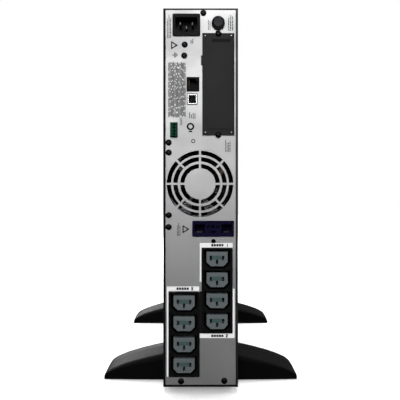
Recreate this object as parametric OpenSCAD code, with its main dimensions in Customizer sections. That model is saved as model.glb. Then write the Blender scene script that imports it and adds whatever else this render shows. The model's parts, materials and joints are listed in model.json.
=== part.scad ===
// Rack and tower uninterruptible power supply, standing on its two tower feet.
// The connector panel faces -Y, the bezel and display face +Y, and Z = 0 is the floor.
// The origin is midway between the bezel's face and the rearmost plug, at floor level.

/* [Case] */
// Width of the steel case
case_w = 85.4; // [85.2:0.1:85.8]
// Height of the steel case as it stands
case_h = 432; // [430:0.5:433]
// Gap between the floor and the underside of the case
floor_gap = 5; // [4.8:0.1:5.4]
// Depth of the steel case without its plastic front
case_d = 447; // [446:0.5:448]
// Depth over everything, from the rear plug to the bezel
overall_d = 484; // [483:0.5:485]
// Thickness of the case sheet
sheet_t = 1.5; // [1.3:0.1:1.6]
// Thickness of the connector panel
panel_t = 1.2; // [1:0.1:1.4]

/* [Feet] */
// Distance between the outer tips of a foot's halves
foot_span = 235; // [220:1:240]
// Length of a foot front to back
foot_d = 65; // [60:1:66]
// Height of a foot's ridge beside the case
foot_h = 37; // [32:1:40]
// Height of a foot's tip
foot_tip_h = 5; // [3:0.5:6]
// Middle of the rear foot, measured from the case's rear edge
rear_foot_at = 72.5; // [70:0.5:80]
// Middle of the front foot, measured from the case's rear edge
front_foot_at = 372.5; // [366:0.5:374]

/* [Outlets] */
// Distance between neighbouring outlets
outlet_pitch = 23.9; // [23.8:0.1:24.2]
// Number of outlets in each block
outlet_count = 4; // [2:1:4]
// Width of an outlet's raised core
core_w = 24; // [23.6:0.1:24.2]
// Height of an outlet's raised core
core_h = 16.4; // [16:0.1:16.6]

/* [Fan] */
// Side of the square fan frame
fan_w = 80; // [79:0.5:80]
// Thickness of the fan frame
fan_d = 25; // [24:0.5:28]
// Number of blades on the rotor
blade_count = 7; // [5:1:9]
// Radius of the rotor's shaft
shaft_r = 1.5; // [1.4:0.1:1.8]

/* [Battery] */
// Length of one battery block
cell_l = 151; // [150:0.5:151]
// Height of one battery block without its terminals
cell_h = 94; // [93:0.5:94]
// Thickness of one battery block
cell_t = 65; // [64:0.5:66]

/* [Display] */
// Side of the square display head
head_w = 62; // [58:1:62]
// Travel of a display button
button_travel = 0.8; // [0.5:0.1:1]

/* [Hidden] */
$fn = 64;

eps = 0.01;            // sliver added so that cuts pass through a face
gap = 0.3;             // clearance between pieces that move apart
fit = 0.1;             // clearance between pieces that stay together
half_w = case_w / 2;
z_low = floor_gap;
z_top = floor_gap + case_h;
plug_proud = 7;        // how far the terminal plug stands out behind the case
rear_y = -overall_d / 2 + plug_proud;
case_front_y = rear_y + case_d;
face_y = overall_d / 2;
panel_y = rear_y + 0.5;             // outer face of the connector panel
panel_in_y = panel_y + panel_t;     // inner face of the connector panel
in_w = half_w - sheet_t;            // half of the room inside the case
hem = 2.6;                          // width of the case edge round the panel
hem_d = 6;

// Places on the connector panel, as [x, z]
inlet_at = [-16.3, 418.1];
breaker_at = [20, 420];
top_screw_at = [3.1, 431.9];
ground_screws_at = [[-18.2, 395.8], [-18.7, 383.2]];
serial_at = [-8.8, 350.5];
usb_at = [-9.6, 333.5];
terminal_at = [-30.6, 298.4];
fan_at = [-0.7, 236.8];
extension_at = [14.2, 185.7];
left_block_at = [-18.9, 65.2];
right_block_at = [18.75, 115.25];
slot_mid = [20.15, 350.3];
edge_screws_at = [[-36.5, 284], [-36.5, 187.5]];
base_screws_at = [[-22.4, 11.4], [27.1, 12]];
fan_hole_r = 35.75;    // fan screw holes, from the fan's middle along X and Z
fan_screws_at = [for (s = [-1, 1]) [fan_at.x - fan_hole_r, fan_at.y + s * fan_hole_r]];

// Panel pieces
block_w = 35.3;
block_h = outlet_count * outlet_pitch + 1.5;
block_d = 24;
block_rim = 0.8;
proud = 2.2;           // how far moulded flanges stand out from the panel
groove_w = 30;
groove_h = 21.6;
groove_d = 17.5;
contact_x = 7;         // live and neutral contacts, from the outlet's middle
contact_drop = 4.4;    // earth contact, below the live and neutral ones
inlet_flange = [31.6, 25.3];
inlet_body = [27.2, 19.6];
inlet_mouth = [24.6, 16.6];
inlet_depth = 16;
slot_w = 36.5;
slot_h = 116.4;
bay_w = 30.6;          // opening in the panel behind the slot cover
bay_h = 105;
bay_d = 128;
cage_w = 35;
cage_h = 108.6;
slot_screw_dz = slot_h / 2 - 0.6;
cover_t = 1.5;
serial_size = [14.3, 16.3];
usb_size = [10, 10.8];
terminal_size = [8.2, 17];
extension_size = [47.6, 18];
screw_head_r = 3.5;
screw_head_t = 2.2;
screw_r = 1.8;
screw_hole_r = 2.1;
screw_l = 8;

// Fan grille rings, as [inner radius, outer radius, number of spokes]
grille_rings = [[17.8, 22.7, 4], [25.6, 30.6, 8], [33.1, 38, 8]];
spoke_w = 2.4;

// Battery bay and its module
tray_x = 38;
tray_z = 11.5;
tray_front_y = 203;
module_l = 2 * cell_l + 9;
tray_rear_y = tray_front_y - module_l;
cell_gap = 7.2;
tray_t = 1.2;
tray_top_z = tray_z + tray_t + 2 * cell_h + 2 * cell_gap + 1;
shelf_z = 219;
bay_back_y = tray_rear_y - 6;
plug_at = [16, 160];   // battery plug, on the bay's back wall
plug_size = [34, 16];

// Front
frame_y = 204;
door_y = frame_y + sheet_t + 0.5;
door_top_z = 232;
thumb_at = [[-30, 225], [30, 225]];
bezel_y = case_front_y + 0.2;
bezel_half_w = half_w + 0.7;
bezel_top_z = 345.5;
bezel_t = 2.5;
trim_y = 226;          // front face of the display panel
head_at = [0, 390];
head_y = trim_y + 0.4;
head_r = 8;            // corner radius of the display head
turret_r = 24;
faceplate_t = 2;
faceplate_y = face_y - 0.8 - faceplate_t;
window_size = [46, 28];
window_at = [0, head_at.y + 10];
button_z = head_at.y - 19;
power_r = 5.5;
small_button = [7, 8];
board_x = -38.6;       // main board's wall side
board_t = 1.6;

// ---------------------------------------------------------------- helpers
// Block between two corners
module block(low, high) {
    translate(low) cube(high - low);
}

// Block centred on a panel place, between two depths
module panel_block(at, size, y0, y1) {
    block([at.x - size.x / 2, y0, at.y - size.y / 2], [at.x + size.x / 2, y1, at.y + size.y / 2]);
}

// Round bar along Y
module bar_y(at, r, y0, y1) {
    translate([at.x, y0, at.y]) rotate([-90, 0, 0]) cylinder(r = r, h = y1 - y0);
}

// Round bar along X
module bar_x(x0, x1, y, z, r) {
    translate([x0, y, z]) rotate([0, 90, 0]) cylinder(r = r, h = x1 - x0);
}

// Flat outline in X and Z given depth along Y, from y0 to y1
module deep(at, y0, y1) {
    translate([at.x, y1, at.y]) rotate([90, 0, 0]) linear_extrude(y1 - y0) children();
}

// Rectangle with round corners, made without facets
module soft_rect(size, r) {
    square([size.x - 2 * r, size.y], center = true);
    square([size.x, size.y - 2 * r], center = true);
    for (sx = [-1, 1], sy = [-1, 1])
        translate([sx * (size.x / 2 - r), sy * (size.y / 2 - r)]) circle(r);
}

// Outline of a power connector: a rectangle whose lower corners are cut off
module connector_outline(size, cut) {
    x = size.x / 2;
    y = size.y / 2;
    polygon([[-x, y], [x, y], [x, cut - y], [x - cut, -y], [cut - x, -y], [-x, cut - y]]);
}

// Cross-recessed screw whose head rests on the plane y and faces -Y
module screw(at, y, length = screw_l) {
    difference() {
        union() {
            bar_y(at, screw_head_r - 0.5, y - screw_head_t, y - screw_head_t + 0.5 + eps);
            bar_y(at, screw_head_r, y - screw_head_t + 0.5, y);
            bar_y(at, screw_r, y - eps, y + length);
        }
        for (turn = [0, 90])
            translate([at.x, y - screw_head_t, at.y]) rotate([0, turn + 20, 0])
                cube([4.2, 2.4, 0.9], center = true);
    }
}

// Rectangular frame standing round a panel place
module sleeve(outer, wall) {
    difference() {
        square(outer, center = true);
        square([outer.x - 2 * wall, outer.y - 2 * wall], center = true);
    }
}

// ---------------------------------------------------------------- case
vent_count = 14;
module side_vents(x) {
    for (i = [0:vent_count - 1], row = [0, 1])
        translate([x, 70 + i * 9, 238 + row * 52]) cube([4 * sheet_t, 3.4, 38]);
}

ear_at = 191;          // middle of the rack ear holes, along Y
ear_spacing = [40, 24];
ear_hole_r = 2.1;
module ear_holes() {
    for (sx = [-1, 1], sy = [-1, 1], z = [z_low, z_top - sheet_t])
        translate([sx * ear_spacing.x / 2, ear_at + sy * ear_spacing.y / 2, z - eps])
            cylinder(r = ear_hole_r, h = sheet_t + 2 * eps);
}

cover_screws_y = [-190, 10, 160];
cover_screw_x = 35;
module cover_screw(y, side) {
    face = side > 0 ? z_top : z_low;
    translate([cover_screw_x, y, face - side * 0.3]) mirror([0, 0, side > 0 ? 1 : 0]) {
        difference() {
            cylinder(r = 3.2, h = 1.1);
            for (turn = [0, 90]) rotate(turn) cube([3.6, 0.8, 1.2], center = true);
        }
        translate([0, 0, 1.1 - eps]) cylinder(r = 1.5, h = 4);
    }
}

tab_y = panel_in_y + fit;
module screw_tab(low, high) {
    block([low.x, tab_y, low.y], [high.x, tab_y + sheet_t, high.y]);
}

module chassis_tray() {
    color("#2b2c2e") difference() {
        union() {
            block([-half_w, rear_y, z_low], [-in_w, case_front_y, z_top]);
            block([-half_w, rear_y, z_low], [in_w - fit, case_front_y, z_low + sheet_t]);
            block([-half_w, rear_y, z_top - sheet_t], [in_w - fit, case_front_y, z_top]);
            block([-half_w, rear_y, z_low], [hem - half_w, rear_y + hem_d, z_top]);
            block([-half_w, rear_y, z_low], [half_w - hem, rear_y + hem_d, z_low + 2.3]);
            for (at = edge_screws_at) screw_tab([-in_w - eps, at.y - 5], [-32.5, at.y + 5]);
            for (at = base_screws_at)
                screw_tab([at.x - 6, z_low + sheet_t - eps], [at.x + 6, z_low + 11]);
            screw_tab([top_screw_at.x - 5, z_top - 10.5], [top_screw_at.x + 6, z_top - 1]);
        }
        for (at = concat(edge_screws_at, base_screws_at, [top_screw_at]))
            bar_y(at, screw_r + fit, tab_y - 1, tab_y + 3);
        block([-in_w, panel_in_y, fan_at.y - fan_w / 2 - 1],
            [hem - half_w + eps, rear_y + hem_d + eps, fan_at.y + fan_w / 2 + 1]);
        side_vents(-half_w - 2);
        ear_holes();
        for (y = cover_screws_y, z = [z_low - 1, z_top - sheet_t - 1])
            translate([cover_screw_x, y, z]) cylinder(r = 3.3, h = sheet_t + 2);
    }
}

module side_cover() {
    lip_y = rear_y + hem_d + 1;
    color("#161719") difference() {
        union() {
            block([in_w, rear_y, z_low], [half_w, case_front_y, z_top]);
            block([half_w - hem + fit, rear_y, z_low + 2.4],
                [in_w + eps, rear_y + hem_d, z_top - sheet_t - fit]);
            block([29, lip_y, z_low + sheet_t + fit], [in_w + eps, case_front_y - 1, z_low + 3]);
            block([29, lip_y, z_top - 3], [in_w + eps, case_front_y - 1, z_top - sheet_t - fit]);
        }
        side_vents(in_w - 2);
        for (y = cover_screws_y, z = [z_low, z_top - 4])
            translate([cover_screw_x, y, z]) cylinder(r = 1.6, h = 4);
        for (z = [z_low - eps, z_top - 4])
            translate([ear_spacing.x / 2 + 1, ear_at - 20, z]) cube([12, 36, 4 + eps]);
    }
}

module case_screws() {
    color("#101113") {
        for (at = concat(edge_screws_at, base_screws_at, [top_screw_at], fan_screws_at))
            screw(at, panel_y);
        for (y = cover_screws_y, side = [-1, 1]) cover_screw(y, side);
    }
    color("#b9bcc0") for (at = ground_screws_at) screw(at, panel_y);
}

module grille_slots() {
    for (ring = grille_rings)
        difference() {
            bar_y(fan_at, ring[1], panel_y - 1, panel_in_y + 1);
            bar_y(fan_at, ring[0], panel_y - 2, panel_in_y + 2);
            for (turn = [0:360 / ring[2]:179])
                translate([fan_at.x, panel_y, fan_at.y]) rotate([0, turn, 0])
                    cube([100, 8, spoke_w], center = true);
        }
}

module rear_panel() {
    color("#8f9296") difference() {
        block([hem - half_w + fit, panel_y, z_low + 2.4],
            [half_w - hem - fit, panel_in_y, z_top - sheet_t - fit]);
        panel_block(inlet_at, inlet_body + [0.4, 0.4], panel_y - 1, panel_in_y + 1);
        bar_y(breaker_at, 6.1, panel_y - 1, panel_in_y + 1);
        panel_block(slot_mid, [bay_w, bay_h], panel_y - 1, panel_in_y + 1);
        panel_block(serial_at, serial_size + [0.4, 0.4], panel_y - 1, panel_in_y + 1);
        panel_block(usb_at, usb_size + [2.2, 2.2], panel_y - 1, panel_in_y + 1);
        panel_block(terminal_at, terminal_size + [0.4, 0.4], panel_y - 1, panel_in_y + 1);
        panel_block(extension_at, extension_size - [0.6, 0.6], panel_y - 1, panel_in_y + 1);
        for (at = [left_block_at, right_block_at])
            panel_block(at, [block_w, block_h] - [1.2, 1.2], panel_y - 1, panel_in_y + 1);
        for (at = concat(edge_screws_at, base_screws_at, [top_screw_at], fan_screws_at,
                ground_screws_at, [for (s = [-1, 1]) slot_mid + [0, s * slot_screw_dz]]))
            bar_y(at, screw_hole_r, panel_y - 1, panel_in_y + 1);
        grille_slots();
    }
}

rail_x = 23;
module bay_partition() {
    back_t = tray_t;
    color("#b7babd") {
        difference() {
            union() {
                block([-in_w + fit, bay_back_y, shelf_z],
                    [in_w - fit, frame_y - fit, shelf_z + sheet_t]);
                block([-in_w + fit, bay_back_y, z_low + 4], [in_w - fit, bay_back_y + back_t, shelf_z + eps]);
            }
            panel_block(plug_at, plug_size + [1, 1], bay_back_y - 1, bay_back_y + 3);
            for (i = [0:5]) block([-30, bay_back_y - 1, 30 + i * 20], [-2, bay_back_y + 3, 34 + i * 20]);
        }
        for (s = [-1, 1])
            block([s * rail_x - 4, bay_back_y + 3, z_low + sheet_t],
                [s * rail_x + 4, ear_at - 16, tray_z - 0.3]);
    }
}

module front_frame() {
    color("#b7babd") difference() {
        union() {
            block([-in_w + fit, frame_y, z_low + sheet_t + fit], [in_w - fit, frame_y + sheet_t, z_top - 1.6]);
            for (s = [-1, 1])
                block([s * (in_w - 1.7) - 1.4, frame_y - 14, 240],
                    [s * (in_w - 1.7) + 1.4, frame_y + eps, 425]);
        }
        block([-tray_x - 0.8, frame_y - 1, 0], [tray_x + 0.8, frame_y + 3, shelf_z - 1]);
        block([-32, frame_y - 1, 242], [32, frame_y + 3, 340]);
        bar_y(head_at, 30, frame_y - 1, frame_y + 3);
        for (at = thumb_at) bar_y(at, screw_hole_r, frame_y - 1, frame_y + 3);
        for (s = [-1, 1], z = [z_low, z_top - 5])
            block([s * 35 - 7, frame_y - 1, z], [s * 35 + 7, frame_y + 3, z + 5]);
    }
}

// ---------------------------------------------------------------- electronics
standoff_y = [-215, -95, 50];
standoff_z = [292, 424];
module circuit_boards() {
    color("#1f5c35") {
        difference() {
            block([board_x, -224, 286], [board_x + board_t, 62, 430]);
            for (y = standoff_y, z = standoff_z) bar_x(board_x - 1, board_x + 3, y, z, 1.6);
        }
        block([serial_at.x - serial_size.x / 2 - board_t - fit, panel_in_y + 2, 322],
            [serial_at.x - serial_size.x / 2 - fit, -175, 366]);
    }
}

module board_standoffs() {
    color("#c9a24b") for (y = standoff_y, z = standoff_z) {
        translate([-in_w, y, z]) rotate([0, 90, 0]) cylinder(r = 3, h = board_x + in_w, $fn = 6);
        bar_x(board_x - eps, board_x + board_t + 0.1, y, z, 1.5);
        bar_x(board_x + board_t, board_x + board_t + 1.8, y, z, 2.9);
    }
}

sink_x = board_x + board_t;
fin_count = 8;
module heatsink(y, z) {
    translate([sink_x, y, z]) {
        cube([34, 96, 4]);
        for (i = [0:fin_count - 1]) translate([1 + i * 4.4, 0, 4 - eps]) cube([1.6, 96, 20]);
    }
}

module heatsinks() {
    color("#a9adb2") {
        heatsink(-88, 292);
        heatsink(-88, 330);
    }
}

module power_transistors() {
    color("#1a1a1c") for (z = [292, 330], i = [0:4]) {
        block([sink_x + 6, -80 + i * 18, z - 4.6], [sink_x + 21, -70 + i * 18, z]);
        for (p = [0:2])
            block([sink_x, -77.6 + i * 18 + p * 2.2, z - 2.6],
                [sink_x + 6 + eps, -76.8 + i * 18 + p * 2.2, z - 1.8]);
    }
}

module capacitors() {
    color("#20242c") for (i = [0:4])
        difference() {
            bar_x(sink_x, sink_x + 36, -74 + i * 26, 394, 11);
            bar_x(sink_x + 35.2, sink_x + 37, -74 + i * 26, 394, 8.5);
        }
}

module relays() {
    color("#2c6e8f") for (i = [0:2])
        block([sink_x, -205 + i * 34, 376], [sink_x + 17, -176 + i * 34, 389]);
}

module filter_choke() {
    color("#b0672f") translate([sink_x + 7.6, 38, 340])
        rotate([0, 90, 0]) rotate_extrude() translate([13, 0]) soft_rect([13, 15], 3);
}

core_mid = [0, 140, 269.5];
core_size = [48, 114, 95];
module transformer_core() {
    color("#5d6166") translate(core_mid) difference() {
        cube(core_size, center = true);
        for (s = [-1, 1]) translate([0, s * 28.5, 0]) cube([60, 19, 57], center = true);
    }
}

module transformer_coil() {
    color("#a5642c") translate(core_mid) difference() {
        translate([0, 0, -28]) linear_extrude(56) soft_rect([74, 75.4], 8);
        cube([core_size.x + 0.4, 38.4, 60], center = true);
    }
}

module transformer_bracket() {
    low = core_mid - core_size / 2;
    high = core_mid + core_size / 2;
    color("#c4c7ca") {
        block([-33, low.y - 3, shelf_z + sheet_t], [33, high.y + 3, low.z]);
        for (s = [-1, 1], y = [low.y + 9, high.y - 9])
            block([s * (high.x + 1.4) - 1.2, y - 8, low.z - eps],
                [s * (high.x + 1.4) + 1.2, y + 8, low.z + 20]);
        for (s = [-1, 1], y = [low.y + 9, high.y - 9])
            bar_x(s * (high.x + 4) - 1.4, s * (high.x + 4) + 1.4, y, low.z + 10, 4);
    }
}

// ---------------------------------------------------------------- fan
fan_y = panel_in_y + fit;
bore_r = 38.3;
hub_r = 17;
module fan_frame() {
    end_y = fan_y + fan_d;
    color("#1c1d1f") difference() {
        union() {
            difference() {
                deep(fan_at, fan_y, end_y) soft_rect([fan_w, fan_w], 4);
                bar_y(fan_at, bore_r, fan_y - 1, end_y + 1);
                for (turn = [0:90:270]) translate([fan_at.x, fan_y + fan_d / 2, fan_at.y])
                    rotate([0, turn, 0]) translate([fan_w / 2, 0, 0]) cube([5, fan_d - 8, 46], center = true);
            }
            for (turn = [45:90:315]) translate([fan_at.x, end_y - 1.8, fan_at.y])
                rotate([0, turn, 0]) translate([27, 0, 0]) cube([24, 3.6, 4], center = true);
            bar_y(fan_at, 16, end_y - 3.6, end_y);
            bar_y(fan_at, 5, fan_y + 5, end_y - 3);
        }
        bar_y(fan_at, shaft_r + 0.06, fan_y + 4, end_y - 2);
        for (sx = [-1, 1], sz = [-1, 1])
            bar_y(fan_at + [sx * fan_hole_r, sz * fan_hole_r], screw_r + fit, fan_y - 1, end_y + 1);
    }
}

module fan_rotor() {
    hub_y = fan_y + 2.8;
    color("#232427") difference() {
        union() {
            bar_y(fan_at, hub_r, hub_y, hub_y + 16);
            for (i = [0:blade_count - 1])
                translate([fan_at.x, hub_y + 8, fan_at.y]) rotate([0, i * 360 / blade_count, 0])
                    translate([hub_r - 1, 0, 0]) rotate([-38, 0, 0])
                        translate([0, -0.75, -10.5]) cube([19.8, 1.5, 21]);
        }
        bar_y(fan_at, hub_r - 1.5, hub_y + 1.5, hub_y + 17);
    }
    color("#c0c3c7") bar_y(fan_at, shaft_r, hub_y + 1, fan_y + fan_d - 3);
}

// ---------------------------------------------------------------- power inlet
pin_size = [2, 4];
function pin_places(at) = [at + [-contact_x, 1.4], at + [contact_x, 1.4], at + [0, -3]];

module inlet_pins() {
    color("#c9ccd0") for (at = pin_places(inlet_at)) panel_block(at, pin_size, panel_y - 1, panel_y + 37);
}

module inlet_housing() {
    back_y = panel_y + 29;
    color("#1d1e20") difference() {
        union() {
            deep(inlet_at, panel_y - proud, panel_y) soft_rect(inlet_flange, 1.6);
            panel_block(inlet_at, inlet_body, panel_y - eps, back_y);
        }
        deep(inlet_at, panel_y - proud - 1, panel_y - proud + inlet_depth)
            connector_outline(inlet_mouth, 5);
        for (at = pin_places(inlet_at)) panel_block(at, pin_size, panel_y, back_y + 1);
    }
}

// ---------------------------------------------------------------- breaker
button_r = 5.3;
module breaker_body() {
    color("#2a2b2e") difference() {
        union() {
            bar_y(breaker_at, 7.5, panel_y - 4, panel_y);
            bar_y(breaker_at, 6, panel_y - eps, panel_in_y + fit);
            panel_block(breaker_at, [16, 15], panel_in_y + fit - eps, panel_y + 34);
        }
        bar_y(breaker_at, button_r + gap, panel_y - 5, panel_y + 9);
    }
    color("#c9a24b") for (s = [-1, 1])
        panel_block(breaker_at + [s * 4.5, 0], [0.8, 6.3], panel_y + 34 - eps, panel_y + 43);
}

module breaker_button() {
    color("#3a3b3e") difference() {
        bar_y(breaker_at, button_r, panel_y - 5.6, panel_y + 8.5);
        panel_block(breaker_at, [7.4, 1.2], panel_y - 6, panel_y - 5);
    }
}

// ---------------------------------------------------------------- outlets
function outlet_places(mid) =
    [for (i = [0:outlet_count - 1]) mid + [0, (i - (outlet_count - 1) / 2) * outlet_pitch]];
all_outlets = concat(outlet_places(left_block_at), outlet_places(right_block_at));
contact_size = [1.8, 4.4];
function contact_places(at) = [at + [-contact_x, 0.9], at + [contact_x, 0.9], at + [0, 0.9 - contact_drop]];

module outlet_block(mid) {
    front = panel_y - proud;
    color("#1b1c1e") difference() {
        union() {
            deep(mid, front, panel_y) soft_rect([block_w, block_h], 1.5);
            panel_block(mid, [block_w, block_h] - [2 * block_rim, 2 * block_rim],
                panel_y - eps, panel_y + block_d);
        }
        for (at = outlet_places(mid)) {
            deep(at, front - 1, front + groove_d) connector_outline([groove_w, groove_h], 6.5);
            for (place = contact_places(at)) panel_block(place, contact_size, panel_y, panel_y + block_d + 1);
        }
    }
}
module outlet_block_left() { outlet_block(left_block_at); }
module outlet_block_right() { outlet_block(right_block_at); }

module outlet_cores() {
    front = panel_y - proud + 0.6;
    color("#56615f") for (at = all_outlets) difference() {
        deep(at, front, panel_y - proud + groove_d) connector_outline([core_w, core_h], 4.6);
        for (place = contact_places(at)) {
            panel_block(place, [2.6, 5.2], front - 1, front + 12);
            panel_block(place, contact_size, front, panel_y + block_d);
        }
    }
}

module outlet_contacts() {
    color("#c9a24b") for (at = all_outlets, place = contact_places(at))
        panel_block(place, contact_size, panel_y + 9, panel_y + block_d + 7);
}

// ---------------------------------------------------------------- data jacks
module serial_jack() {
    front = panel_y - 1;
    color("#141416") difference() {
        panel_block(serial_at, serial_size, front, front + 20);
        panel_block(serial_at + [-0.6, 0], [7.6, 12], front - 1, front + 13.5);
        panel_block(serial_at + [4.2, 0], [2.6, 6.4], front - 1, front + 9);
    }
}

module usb_shell() {
    color("#c9ccd0") deep(usb_at, panel_y - 0.8, panel_y + 16) sleeve(usb_size, 0.6);
}

module usb_insert() {
    hollow = usb_size - [1.2, 1.2];
    color("#0f0f11") {
        panel_block(usb_at, hollow, panel_y + 9, panel_y + 15.9);
        panel_block(usb_at, [3.2, 5.6], panel_y, panel_y + 9 + eps);
    }
}

plug_wall = 0.7;
module terminal_header() {
    color("#1d7a44") {
        deep(terminal_at, panel_y - 1.5, panel_y + 12) sleeve(terminal_size, plug_wall);
        panel_block(terminal_at, terminal_size, panel_y + 12 - eps, panel_y + 14);
    }
    color("#c9ccd0") for (i = [-1.5:1.5])
        panel_block(terminal_at + [0, i * 3.81], [0.9, 0.9], panel_y + 14 - eps, panel_y + 20);
}

module terminal_plug() {
    size = terminal_size - 2 * [plug_wall + gap, plug_wall + gap];
    color("#238f51") difference() {
        panel_block(terminal_at, size, -overall_d / 2, panel_y + 11);
        for (i = [-1.5:1.5]) {
            panel_block(terminal_at + [0.6, i * 3.6], [2.6, 2.4], -overall_d / 2 - 1, panel_y + 2);
            bar_x(terminal_at.x - 4, terminal_at.x - 1.4, -overall_d / 2 + 3, terminal_at.y + i * 3.6, 1.2);
        }
    }
}

// ---------------------------------------------------------------- extension socket
pocket_x = 15.4;
pocket = [12, 9.4];
module extension_socket() {
    front = panel_y - proud;
    color("#25287a") difference() {
        union() {
            deep(extension_at, front, panel_y) soft_rect(extension_size, 1.2);
            panel_block(extension_at, extension_size - [1, 1], panel_y - eps, panel_y + 30);
        }
        panel_block(extension_at + [0, 0.2], extension_size - [4, 4.4], front - 1, front + 1.6);
        for (s = [-1, 1])
            panel_block(extension_at + [s * pocket_x, 0], pocket, front - 1, front + 22);
        for (i = [-1:1]) panel_block(extension_at + [i * 5.2, 2.4], [3, 3.4], front - 1, front + 14);
        panel_block(extension_at + [0, -4], [6, 2.4], front - 1, front + 8);
        for (s = [-1, 1])
            panel_block(extension_at + [s * pocket_x, -3.9], [7, 1.6], front, panel_y + 31);
    }
}

module extension_contacts() {
    color("#c9ccd0") {
        for (s = [-1, 1])
            panel_block(extension_at + [s * pocket_x, -3.9], [7, 1.6], panel_y + 1, panel_y + 38);
        for (i = [-1:1])
            panel_block(extension_at + [i * 5.2, 2.4], [0.9, 0.9], panel_y + 2, panel_y + 14 - proud);
    }
}

// ---------------------------------------------------------------- option slot
module slot_cage() {
    color("#b7babd") {
        deep(slot_mid + [0.75, 0], panel_in_y + fit, panel_y + bay_d) sleeve([cage_w, cage_h], 1);
        panel_block(slot_mid + [0.75, 0], [cage_w, cage_h], panel_y + bay_d - eps, panel_y + bay_d + 1);
        panel_block(slot_mid + [13.6, 10], [6.4, 62], panel_y + bay_d - 9, panel_y + bay_d);
    }
}

lip = [bay_w - 0.8, bay_h - 0.8];
module slot_cover() {
    front = panel_y - gap - cover_t;
    color("#26282b") difference() {
        union() {
            panel_block(slot_mid, [slot_w, slot_h], front, front + cover_t);
            deep(slot_mid + [1.65, 0], front - 1, front + eps) soft_rect([29.6, 102], 1.5);
            panel_block(slot_mid + [-16.6, 27.5], [6.3, 10], front - 0.6, front + cover_t);
            for (sx = [-1, 1], sz = [-1, 1])
                bar_y(slot_mid + [sx * 14.85, sz * 55.05], 1.3, front - 0.7, front + eps);
            deep(slot_mid, front + cover_t - eps, panel_in_y + 4) sleeve(lip, 1);
        }
        panel_block(slot_mid + [3.3, 49.2], [21.3, 3.5], front - 1.5, front - 0.4);
        for (s = [-1, 1]) bar_y(slot_mid + [0, s * slot_screw_dz], screw_hole_r, front - 2, front + 3);
    }
}

module slot_cover_screws() {
    color("#101113") for (s = [-1, 1])
        screw(slot_mid + [0, s * slot_screw_dz], panel_y - gap - cover_t);
}

// ---------------------------------------------------------------- battery
module battery_socket() {
    size = plug_size + [6, 5];
    color("#6f7276") difference() {
        panel_block(plug_at, size, bay_back_y - 22, bay_back_y);
        panel_block(plug_at, plug_size + [0.8, 0.8], bay_back_y - 18, bay_back_y + 1);
    }
}

module battery_plug() {
    color("#8d9094") difference() {
        panel_block(plug_at, plug_size, bay_back_y - 16, tray_rear_y);
        for (s = [-1, 1]) panel_block(plug_at + [s * 8, 0], [9, 7], bay_back_y - 17, bay_back_y - 8);
    }
}

module battery_tray() {
    wall_top = tray_z + 26;
    color("#2f3134") difference() {
        union() {
            block([-tray_x, tray_rear_y, tray_z], [tray_x, tray_front_y, tray_z + tray_t]);
            for (s = [-1, 1])
                block([s * (tray_x - tray_t / 2) - tray_t / 2, tray_rear_y, tray_z],
                    [s * (tray_x - tray_t / 2) + tray_t / 2, tray_front_y, wall_top]);
            block([-tray_x, tray_front_y - tray_t, tray_z], [tray_x, tray_front_y, tray_top_z]);
            block([-tray_x, tray_rear_y, tray_z], [tray_x, tray_rear_y + tray_t, tray_top_z]);
        }
        for (i = [0:4]) block([-24, tray_front_y - 3, 40 + i * 14], [24, tray_front_y + 1, 44 + i * 14]);
    }
}

function cell_low(i, j) = [-cell_t / 2, tray_rear_y + 3.5 + i * (cell_l + 1),
    tray_z + tray_t + 0.2 + j * (cell_h + cell_gap)];
module battery_blocks() {
    for (i = [0, 1], j = [0, 1]) {
        low = cell_low(i, j);
        color("#3b3d42") block(low, low + [cell_t, cell_l, cell_h]);
        color("#c9ccd0") for (x = [8, cell_t - 8])
            block(low + [x - 3, 12, cell_h - eps], low + [x + 3, 13, cell_h + 5.6]);
    }
}

lead_r = 2;
module battery_leads() {
    y = tray_rear_y + tray_t;
    color("#a32020") {
        bar_x(-35.6, -35.6 + 2 * lead_r, y + 40, 110, lead_r);
        for (s = [-1, 1]) translate([s * (cell_t / 2 + 2.3), y + 16, tray_z + 40])
            cylinder(r = lead_r, h = 155);
        for (s = [-1, 1]) translate([s * (cell_t / 2 + 2.3), y + 16, tray_z + 195])
            sphere(lead_r);
    }
}

module battery_strap() {
    y = tray_front_y;
    color("#d8d9db") {
        block([-12, y, 150], [12, y + 0.8, 196]);
        block([-12, y + 0.8 - eps, 150], [12, y + 2, 158]);
        bar_x(-12, 12, y + 1, 150, 1);
    }
}

module battery_door() {
    color("#2f3134") difference() {
        union() {
            block([-40, door_y, tray_z], [40, door_y + sheet_t, door_top_z]);
            for (z = [60, 120, 180]) block([-30, door_y + sheet_t - eps, z], [30, door_y + 2.4, z + 8]);
        }
        for (at = thumb_at) bar_y(at, screw_hole_r, door_y - 1, door_y + 3);
        for (i = [-3:3]) block([i * 8 - 1.7, door_y - 1, 84], [i * 8 + 1.7, door_y + 4, 108]);
    }
}

module door_thumbscrews() {
    y = door_y + sheet_t;
    color("#c4c7ca") for (at = thumb_at) {
        difference() {
            bar_y(at, 6, y, y + 8);
            for (turn = [0:20:340]) translate([at.x, y + 4.5, at.y]) rotate([0, turn, 0])
                translate([6, 0, 0]) cube([0.8, 8, 0.8], center = true);
            panel_block(at, [9, 1.2], y + 7, y + 9);
        }
        bar_y(at, screw_r, frame_y - 5, y + eps);
    }
}

// ---------------------------------------------------------------- plastic front
bezel_low_z = z_low + 0.8;
module front_shell(z0, z1, front) {
    difference() {
        block([-bezel_half_w, bezel_y, z0], [bezel_half_w, front, z1]);
        block([bezel_t - bezel_half_w, bezel_y - 1, z0 + bezel_t],
            [bezel_half_w - bezel_t, front - bezel_t, z1 - bezel_t]);
    }
}

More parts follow.
